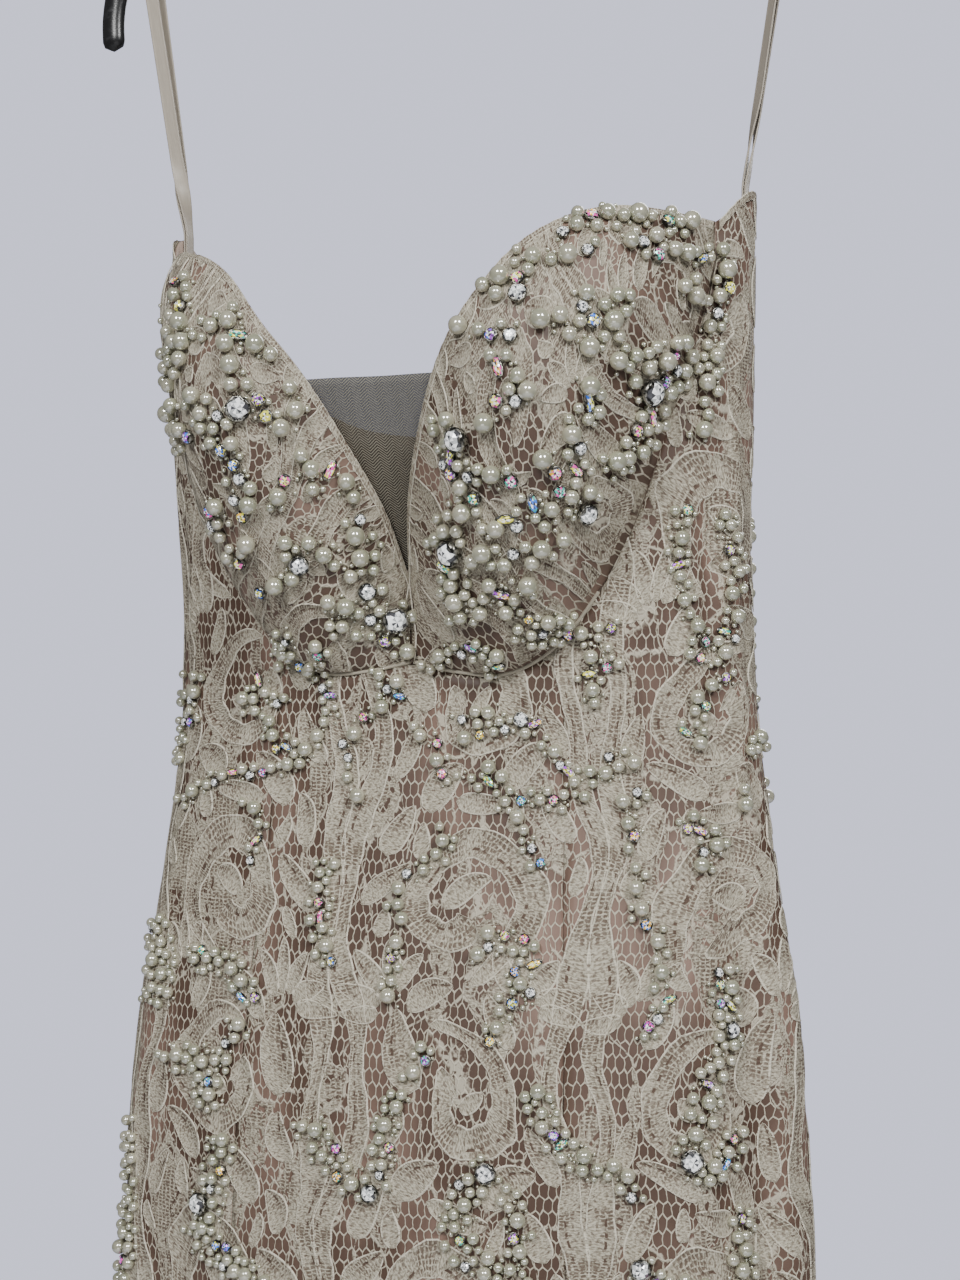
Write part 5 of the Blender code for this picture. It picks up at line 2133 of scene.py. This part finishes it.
@dataclass
class Stones:
    """Shapes of cut stones and their settings, for a radius of 1 and facing +Z."""

    sides: int = 10

    def crown(self) -> Grid:
        """A round stone: girdle, a ring of facets and a table."""
        turn = 2 * np.pi * np.arange(self.sides) / self.sides
        girdle = self.ring(turn, 0.92, 0.0)
        star = self.ring(turn + np.pi / self.sides, 0.72, 0.34)
        points = np.vstack([girdle, star, self.ring(turn, 0.46, 0.52), [[0, 0, 0.53], [0, 0, -0.35]]])
        n = self.sides
        c = np.arange(n)
        d = (c + 1) % n
        faces = [
            columns_of(c, d, n + c),
            columns_of(d, n + d, n + c),
            columns_of(n + c, n + d, 2 * n + d),
            columns_of(n + c, 2 * n + d, 2 * n + c),
            columns_of(2 * n + c, 2 * n + d, np.full(n, 3 * n)),
            columns_of(d, c, np.full(n, 3 * n + 1)),
        ]
        return points, np.concatenate(faces)

    def setting(self) -> Grid:
        """The metal cup round a stone, with four claws."""
        n = 12
        turn = 2 * np.pi * np.arange(n) / n
        claw = np.where(np.arange(n) % 3 == 0, 0.24, 0.0)
        sizes = ((0.95, -0.55), (1.08, 0.02), (0.98 - claw * 0.9, 0.12 + claw * 1.1), (0.86, -0.02))
        rings = [self.ring(turn, radius, height) for radius, height in sizes]
        return np.vstack(rings), grid_faces(len(rings), n, closed=True)[:, ::-1]

    @staticmethod
    def ring(turn: Array, radius: Array | float, height: Array | float) -> Array:
        """Points round the stone's axis."""
        return columns_of(radius * np.cos(turn), radius * np.sin(turn), 0 * turn + height)


HUES = (
    (0.34, 0.03, 0.60), (0.01, 0.46, 0.34), (0.95, 0.52, 0.03), (0.03, 0.18, 0.82),
    (0.78, 0.06, 0.40), (0.62, 0.62, 0.05), (0.80, 0.74, 0.10),
)
# Facet colours of painted light: a white painted glint, and grey and dark painted reflections.
PAINTED_GLINT = (0.98, 1.00, 1.00)
PAINTED_GREY_REFLECTION = (0.42, 0.44, 0.44)
PAINTED_DARK_REFLECTION = (0.03, 0.03, 0.035)
BOAT_STRETCH = np.array([1.75, 0.82, 0.9])


@dataclass
class BeadMaker:
    """Turns the placed beads into a few joined pieces."""

    finishes: Finishes
    seed: int = 3
    fineness: tuple[tuple[float, int, int], ...] = ((0.0031, 8, 15), (0.0016, 6, 11), (0.0, 4, 7))

    @staticmethod
    def basis(out: Array, spin: float) -> Array:
        """Three directions for a bead, as rows.

        Args:
            out: The direction out of the cloth, which is the third.
            spin: The turn round it.

        Returns:
            The directions.
        """
        side = np.cross(out, [0.0, 0.0, 1.0] if abs(out[2]) < 0.9 else [1.0, 0.0, 0.0])
        side = unit(side)
        other = np.cross(out, side)
        a = side * math.cos(spin) + other * math.sin(spin)
        return np.stack([a, np.cross(out, a), out])

    def build(self, beads: list[Bead], name: str) -> list[Object]:
        """Makes the pieces of one part of the gown.

        Args:
            beads: The beads there.
            name: The start of the pieces' names.

        Returns:
            The pieces.
        """
        rng = np.random.default_rng(self.seed)
        shapes = [(least, ball(rings, sides)) for least, rings, sides in self.fineness]
        cut = Stones()
        crown, setting = cut.crown(), cut.setting()
        pearls, stones, claws = MeshData(), MeshData(), MeshData()
        for b in beads:
            frame_of = self.basis(b.out, b.spin)
            if b.kind in ROUND_BEADS:
                shape, faces = next(made for least, made in shapes if b.radius >= least)
                pearls.add(b.place + shape @ frame_of * b.radius, faces)
                continue
            stretch = BOAT_STRETCH if b.kind is BeadKind.BOAT else np.ones(3)
            first, second = rng.choice(len(HUES), 2, replace=False)
            # Clear stones are painted grey with white painted glints; the others have the coating's hues.
            main, other = (PAINTED_GREY_REFLECTION, PAINTED_GLINT) if b.kind is BeadKind.CLEAR else (HUES[first], HUES[second])
            # Rings of facet colours: the hues beside white painted glints and dark and grey painted
            # reflections.
            rings = ((PAINTED_DARK_REFLECTION, PAINTED_DARK_REFLECTION, PAINTED_GREY_REFLECTION), (PAINTED_DARK_REFLECTION, main, other), (main, PAINTED_GLINT, other), (PAINTED_GLINT, main, PAINTED_DARK_REFLECTION))
            ring_of = np.repeat([0, 1, 1, 2, 3, 0], cut.sides)
            turn = np.tile(np.arange(cut.sides), 6) + rng.integers(0, 3)
            picks = np.array(rings)[ring_of, (turn + (rng.random(len(crown[1])) < 0.35)) % 3]
            # Each facet is darkened at random: painted shade on the facets.
            shade = rng.uniform(0.75, 1.0, (len(crown[1]), 1))
            tint = np.concatenate([picks * shade, np.ones((len(crown[1]), 1))], axis=1)
            stones.add(b.place + (crown[0] * stretch) @ frame_of * b.radius, crown[1], tint)
            claws.add(b.place + (setting[0] * stretch) @ frame_of * b.radius, setting[1])
        f = self.finishes
        made = []
        for data, word, material, flat_shaded in (
            (pearls, "pearls", f.pearl, False),
            (stones, "stones", f.stone, True),
            (claws, "settings", f.claw, False),
        ):
            if data.count:
                made.append(data.piece(f"{name}_{word}", [material], COMMON_SLOT, flat_shaded))
        log.info("%s: %d beads", name, len(beads))
        return made


def swept(
    path: Array, first: Array, second: Array, section: Callable[[float], Array]
) -> Grid:
    """A closed bar along a path.

    Args:
        path: Its centre line.
        first: At each point of the path, the direction of the section's first coordinate.
        second: The direction of the second.
        section: The section's points at a share of the way along.

    Returns:
        Points and faces, with -1 as the fourth number of a triangle.
    """
    n = len(path)
    rings = np.stack([section(i / (n - 1)) for i in range(n)])
    sides = rings.shape[1]
    points = path[:, None, :] + rings[..., :1] * first[:, None, :] + rings[..., 1:2] * second[:, None, :]
    c = np.arange(sides)
    d = (c + 1) % sides
    start, last, none = np.full(sides, n * sides), (n - 1) * sides, np.full(sides, -1)
    ends = [columns_of(start, c, d, none), columns_of(start + 1, last + d, last + c, none)]
    points = np.vstack([points.reshape(-1, 3), path[0], path[-1]])
    return points, np.concatenate([grid_faces(n, sides, closed=True), *ends])


@dataclass
class Hanger:
    """The moulded hanger: two drooping arms with a parting line, and the hook."""

    finishes: Finishes
    sides: int = 28
    tip: float = 0.012
    hook_tip: float = 0.03

    def oval(self, half_a: float, half_b: float, share: float, tip: float) -> Array:
        """A section with a fine parting ridge, drawn in to a round end.

        Args:
            half_a: Half its size in the first direction.
            half_b: Half its size in the second.
            share: The share of the way along.
            tip: The share that each round end takes, or 0.

        Returns:
            The section's points.
        """
        turn = 2 * np.pi * np.arange(self.sides) / self.sides
        ridge = 1 + 0.045 * np.exp(-((np.abs(np.sin(turn)) - 1) / 0.02) ** 2)
        near = min(share, 1 - share) / tip if tip else 1.0
        shrink = math.sqrt(max(1 - (1 - min(near, 1.0)) ** 2, 0.004))
        return columns_of(half_a * np.cos(turn) * shrink * ridge, half_b * np.sin(turn) * shrink * ridge)

    def build(self) -> Object:
        """Makes the hanger."""
        data = MeshData()
        right = spaced(curve_through([(p.across, 0, p.height) for p in ARM], 8), 90)
        arms = np.vstack([(right * [-1, 1, 1])[:0:-1], right])
        self.bar(data, arms, lambda t: self.oval(ARM_HALF_THICKNESS, ARM_HALF_HEIGHT, t, self.tip))
        radius, centre = HOOK_INNER_RADIUS + HOOK_WIRE_RADIUS, -HOOK_INNER_RADIUS
        turns = np.radians(200 - 240 * np.linspace(0, 1, 60))
        arc = columns_of(radius * np.cos(turns), 0 * turns, centre + radius * np.sin(turns))
        neck = curve_through([arc[-1], (0.0065, 0, -0.0455), (0.0, 0, -0.0560), (0.0, 0, -0.0690)], 10)
        path = np.vstack([arc, neck[1:]])
        wire = HOOK_WIRE_RADIUS
        self.bar(data, path, lambda t: self.oval(wire, wire, t, self.hook_tip if t < 0.5 else 0))
        made = data.piece("moulded_hanger", [self.finishes.plastic], "black_plastic")
        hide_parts("hanger")
        return made

    @staticmethod
    def bar(data: MeshData, path: Array, section: Callable[[float], Array]) -> None:
        """Adds a bar along a path in the hanger's own plane.

        Args:
            data: The hanger's mesh.
            path: The bar's centre line.
            section: Its section at a share of the way along.
        """
        across = np.tile([0.0, 1.0, 0.0], (len(path), 1))
        data.add(*swept(path, across, np.cross(unit(np.gradient(path, axis=0)), across), section))


@dataclass
class RibbonLoop:
    """A satin loop: up from inside the side seam, over the hanger's notch and down again."""

    side: int
    early_turn: float
    finishes: Finishes

    def build(self, name: str, node: str) -> Object:
        """Makes the loop.

        Args:
            name: The piece's name.
            node: The solid that it replaces.

        Returns:
            The piece.
        """
        half = RIBBON_THICKNESS / 2
        over_y = ARM_HALF_THICKNESS + SEAM_GAP + half
        over_z = ARM_HALF_HEIGHT + SEAM_GAP + half + RIBBON_PLAY
        inside_x = SECTIONS[0].half_width - PANEL_WALL - SEAM_GAP * 4 - half
        apart = half + SEAM_GAP / 2
        bottom = SIDE_TOP_Z - RIBBON_TUCK
        notch = ARM[NOTCH_INDEX]
        before, after = ARM[NOTCH_INDEX - 1], ARM[NOTCH_INDEX + 1]
        arm = unit(np.array([after.across - before.across, 0, after.height - before.height]))
        arm_up = np.array([-arm[2], 0, arm[0]])
        share = np.linspace(0, 1, 70)
        late = ramp(share, RIBBON_TURNS, RIBBON_MEETS)
        turn = self.early_turn * ramp(share, 0.05, 0.28) * (1 - late) + math.pi / 2 * late
        lean = math.pi / 2 * late
        closing = np.minimum(share / RIBBON_MEETS, 1.0)
        z = notch.height + (bottom - notch.height) * share
        middle = columns_of(notch.across + (inside_x - apart - notch.across) * closing, 0 * z, z)
        spread = over_y + (apart - over_y) * closing
        offset = columns_of(np.sin(lean), np.cos(lean), 0 * lean) * spread[:, None]
        width = columns_of(np.cos(turn), -np.sin(turn), 0 * turn)
        start = ramp(share, 0, 0.2)[:, None]
        width = unit(arm * (1 - start) + width * start)
        bow = np.radians(np.linspace(0, 180, 18)[1:-1])[:, None]
        over = np.array([notch.across, 0, notch.height]) + np.array([0, -over_y, 0]) * np.cos(bow)
        over = over + arm_up * over_z * np.sin(bow)
        path = np.vstack([(middle - offset)[::-1], over, middle + offset])
        widths = np.vstack([width[::-1], np.tile(arm, (len(over), 1)), width])
        mirror = np.array([float(self.side), 1.0, 1.0])
        path, widths = path * mirror, widths * mirror
        out = unit(np.cross(unit(np.gradient(path, axis=0)), widths))
        places = np.array([-1, -0.93, -0.86, -0.5, 0, 0.5, 0.86, 0.93, 1])
        crown = half * np.array([0.55, 1.0, 0.8, 0.85, 0.9, 0.85, 0.8, 1.0, 0.55])
        top = columns_of(places * RIBBON_WIDTH / 2, crown)
        section = np.concatenate([top, columns_of(places[::-1] * RIBBON_WIDTH / 2, -crown)])
        points = path[:, None, :] + section[:, 0][None, :, None] * widths[:, None, :]
        points = points + section[:, 1][None, :, None] * out[:, None, :]
        n, sides = len(path), len(section)
        quads = grid_faces(n, sides, closed=True)
        if self.side < 0:
            quads = quads[:, ::-1]
        reached = reached_along(path)
        flat = paired(section[:, 0], reached[:, None])
        shares = paired(section[:, 0] / (RIBBON_WIDTH / 2), np.zeros((n, sides)))
        data = MeshData()
        data.add(points.reshape(-1, 3), quads, flat=flat, share=shares)
        c = np.arange(8)
        for base, turned in ((0, self.side > 0), ((n - 1) * sides, self.side < 0)):
            ends = columns_of(c, c + 1, 16 - c, 17 - c) + base
            data.add_faces(ends[:, ::-1] if turned else ends)
        made = data.piece(name, [self.finishes.satin], "satin_ribbon")
        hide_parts(node)
        log.info("%s: %.0f mm long", name, reached[-1] * 1000)
        return made


@dataclass
class NeckInsert:
    """The sheer net that spans the plunge of the neckline."""

    cup: Cup
    finishes: Finishes
    rows: int = 26
    columns: int = 22
    slack: float = 0.0012
    behind: float = 0.0002

    def build(self) -> Object:
        """Makes the insert."""
        rows, columns = self.rows, self.columns
        edge = self.cup.left_point(np.linspace(0, 1, 400), np.ones(400))
        z = SIDE_TOP_Z - np.linspace(NET_TOP_DROP, NET_LOW_DROP, rows)
        x = np.interp(z, edge[:, 2], edge[:, 0])
        y = np.interp(z, edge[:, 2], edge[:, 1]) + CUP_WALL
        across = np.linspace(-1, 1, columns)
        px = (x + NET_TUCK)[:, None] * across[None, :]
        slack = self.slack * np.sin(across[None, :] * 4 + 1.0) * np.linspace(1, 0, rows)[:, None]
        py = np.repeat(y[:, None], columns, axis=1) + slack * (1 - across[None, :] ** 2) + self.behind
        pz = np.repeat(z[:, None], columns, axis=1)
        front = columns_of(px, py, pz).reshape(-1, 3)
        data = MeshData()
        data.add_doubled(front, front + [0, SHEER_THICKNESS, 0], (rows, columns), front[:, [0, 2]], 0)
        made = data.piece("sheer_insert", [self.finishes.sheer], "sheer_net")
        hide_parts("neck_net")
        return made


@dataclass
class Studio:
    """The plain pale floor, the soft lights and the background."""

    floor_z: float
    radius: float = 2.0

    def build(self) -> None:
        """Makes the floor, the lights and the world."""
        data = bpy.data.meshes.new("studio_floor")
        turn = 2 * np.pi * np.arange(64) / 64
        ring = [(self.radius * math.cos(a), self.radius * math.sin(a), self.floor_z) for a in turn]
        data.from_pydata(ring, [], [tuple(range(64))])
        floor = bpy.data.objects.new("studio_floor", data)
        link(floor)
        n = Nodes("pale_floor")
        colour = n.object_place().noise(3.0, 2.0).between((0.62, 0.63, 0.66), (0.68, 0.69, 0.72))
        data.materials.append(n.finish(base_color=colour, roughness=0.7))
        self.lamp("key", (-0.10, -1.97, 0.72), 0.55, 35)
        self.lamp("key_twin", (1.36, -1.36, 0.72), 0.55, 36)
        self.lamp("low_fill", (0.5, -1.9, -1.7), 1.4, 8)
        self.lamp("back_light", (0.3, 2.2, 0.8), 1.5, 30)
        world = bpy.data.worlds.new("studio_world")
        world.use_nodes = True
        tree = world.node_tree
        seen = tree.nodes["Background"]
        seen.inputs[0].default_value = (0.92, 0.94, 1.16, 1)
        lit = tree.nodes.new("ShaderNodeBackground")
        lit.inputs[0].default_value = (0.60, 0.58, 0.60, 1)
        lit.inputs[1].default_value = 0.28
        mix = tree.nodes.new("ShaderNodeMixShader")
        path = tree.nodes.new("ShaderNodeLightPath")
        tree.links.new(path.outputs["Is Camera Ray"], mix.inputs[0])
        tree.links.new(lit.outputs[0], mix.inputs[1])
        tree.links.new(seen.outputs[0], mix.inputs[2])
        tree.links.new(mix.outputs[0], tree.nodes["World Output"].inputs[0])
        bpy.context.scene.world = world

    @staticmethod
    def lamp(name: str, place: tuple[float, float, float], size: float, power: float) -> None:
        """A soft square light that faces the gown's bodice.

        Args:
            name: Its name.
            place: Where it stands.
            size: The length of its side.
            power: Its power in watts.
        """
        data = bpy.data.lights.new(name, "AREA")
        data.size = size
        data.energy = power
        made = bpy.data.objects.new(name, data)
        made.location = place
        aim = LAMPS_FACE - Vector(place)
        made.rotation_euler = aim.to_track_quat("-Z", "Y").to_euler()
        link(made)


def tree_of(pieces: Sequence[Object]) -> BVHTree:
    """The faces of several pieces, to find places on them.

    Args:
        pieces: The pieces.

    Returns:
        The tree of their faces.
    """
    points: list[tuple[float, float, float]] = []
    faces: list[tuple[int, ...]] = []
    for piece in pieces:
        start = len(points)
        points += [tuple(v.co) for v in piece.data.vertices]
        faces += [tuple(start + i for i in p.vertices) for p in piece.data.polygons]
    return BVHTree.FromPolygons(points, faces)


def lace_places() -> list[tuple[float, float, bool, float]]:
    """Where the copies of the repeat lie on the body.

    Returns:
        For each, the flat place of its corner, whether it is mirrored, and its scale.
    """
    places = []
    for column in range(-6, 7):
        for row in range(-6, 4):
            x = REPEAT_AT_S + column * REPEAT_WIDTH
            y = -REPEAT_AT_DROP + row * REPEAT_HEIGHT
            if -GOWN_LENGTH - REPEAT_HEIGHT < y < 0:
                places.append((x, y, column % 2 == 1, 1.0))
    return places


def split_by(data: MeshData, tests: dict[str, Callable[[Array], Array]]) -> dict[str, MeshData]:
    """Parts a piece's faces by where their first corner lies.

    Args:
        data: The piece.
        tests: A test of points for each part's name.

    Returns:
        The parts by name.
    """
    points, faces = np.concatenate(data.points), np.concatenate(data.faces)
    flats, shares = np.concatenate(data.flats), np.concatenate(data.shares)
    parts = {}
    for name, test in tests.items():
        chosen = faces[test(points[faces[:, 0]])]
        if len(chosen):
            used, compact = np.unique(chosen, return_inverse=True)
            parts[name] = MeshData()
            parts[name].add(points[used], compact.reshape(-1, 4), flat=flats[used], share=shares[used])
    return parts


@dataclass
class GownLace:
    """All the lace on the gown, in pieces that go with its panels."""

    body: Body
    cups: dict[int, Cup]
    finishes: Finishes
    waist_drop: float = 0.62
    cup_scale: float = 0.82
    cord_radius: float = 0.0010
    cord_lift: float = 0.0005
    cord_reach: float = 0.42

    def __post_init__(self) -> None:
        """Draws the repeat."""
        self.work = LaceWork(LacePattern().strokes())

    def piece(self, data: MeshData, name: str) -> Object:
        """One piece of the lace."""
        return data.piece(f"lace_{name}", [self.finishes.clothwork], COMMON_SLOT)

    def on_body(self) -> dict[str, Object]:
        """The lace below and beside the cups, in four pieces by name."""
        waist = SIDE_TOP_Z - self.waist_drop
        tests = {
            "front_upper": lambda p: (p[:, 1] < 0) & (p[:, 2] > waist),
            "front_lower": lambda p: (p[:, 1] < 0) & (p[:, 2] <= waist),
            "back_upper": lambda p: (p[:, 1] >= 0) & (p[:, 2] > waist),
            "back_lower": lambda p: (p[:, 1] >= 0) & (p[:, 2] <= waist),
        }
        data = self.work.lay(self.body, lace_places())
        corner = (NECKLINE[-1].across + 2 * SEAM_GAP) / TOP_HALF_WIDTH
        starts = math.asin(corner ** (ROUNDNESS / 2))
        for side, _ in SIDES:
            angles = side * np.linspace(starts, math.pi - BACK_SEAM_ANGLE, 100)
            EdgeBand(self.body).lay(data, angles, self.body.top(angles), np.ones(100))
        return {name: self.piece(part, name) for name, part in split_by(data, tests).items()}

    def on_cup(self, side: int, word: str) -> Object:
        """The lace on a cup, its edge band and the cord along the seam under it.

        Args:
            side: 1 for the wearer's left, and -1 for the right.
            word: The side in words.

        Returns:
            The piece.
        """
        cup, scale = self.cups[side], self.cup_scale
        places = [
            (k * REPEAT_WIDTH * scale - 0.012, j * REPEAT_HEIGHT * scale - 0.02, k % 2 == 1, scale)
            for k in range(3)
            for j in range(2)
        ]
        data = self.work.lay(cup, places)
        if side < 0:
            data.faces = [f[:, ::-1] for f in data.faces]
        along = np.linspace(0.004, 0.996, 120)
        EdgeBand(cup).lay(data, along, np.ones(120), -1 / cup.height_at(along))
        under = np.linspace(0.004, self.cord_reach, 60)
        path, out = cup.point(under, np.zeros(60)), cup.normal(under, np.zeros(60))
        turn = np.linspace(0, 2 * np.pi, 9)[:-1]
        ring = self.cord_radius * columns_of(np.cos(turn), np.sin(turn))
        across = unit(np.cross(unit(np.gradient(path, axis=0)), out))
        data.add(*swept(path + out * self.cord_lift, out, across, lambda share: ring))
        return self.piece(data, f"cup_{word}")


def main() -> None:
    """Builds the gown, its lace and beads, the hanger and the studio."""
    logging.basicConfig(level=logging.INFO, format="%(name)s: %(message)s")
    finishes = Finishes()
    body = Body()
    cups = {side: Cup(body, side) for side, _ in SIDES}
    panels = Gown(body, cups, finishes).panels()
    shells = {panel.node: panel.build() for panel in panels}
    tree = tree_of(list(shells.values()))
    view = PhotoView(tree)
    view.camera()

    extras: dict[str, list[Object]] = {node: [] for node in shells}
    lace = GownLace(body, cups, finishes)
    for name, made in lace.on_body().items():
        extras["front_centre" if "front" in name else "back_left"].append(made)
    for side, word in SIDES:
        extras[f"cup_{word}"].append(lace.on_cup(side, word))

    work = Beadwork(view, body, tree)
    work.build()
    maker = BeadMaker(finishes)
    for home in ("cup_left", "cup_right", "front_centre", "back_left"):
        extras[home] += maker.build([b for b in work.beads if b.home() == home], f"beadwork_{home}")

    Hanger(finishes).build()
    RibbonLoop(1, math.radians(50), finishes).build("ribbon_left", "loop_left")
    RibbonLoop(-1, 0.0, finishes).build("ribbon_right", "loop_right")
    NeckInsert(cups[1], finishes).build()
    for panel in panels:
        shell, pieces, (*flat, area) = shells[panel.node], extras[panel.node], panel.cut
        tuple(flat)
        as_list(pieces)
    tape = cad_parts["zip_tape"]
    tape.data.materials.clear()
    tape.data.materials.append(finishes.tape)
    Studio(floor_z=SIDE_TOP_Z - GOWN_LENGTH - FLOOR_BELOW_HEM).build()


if __name__ == "__main__":
    main()
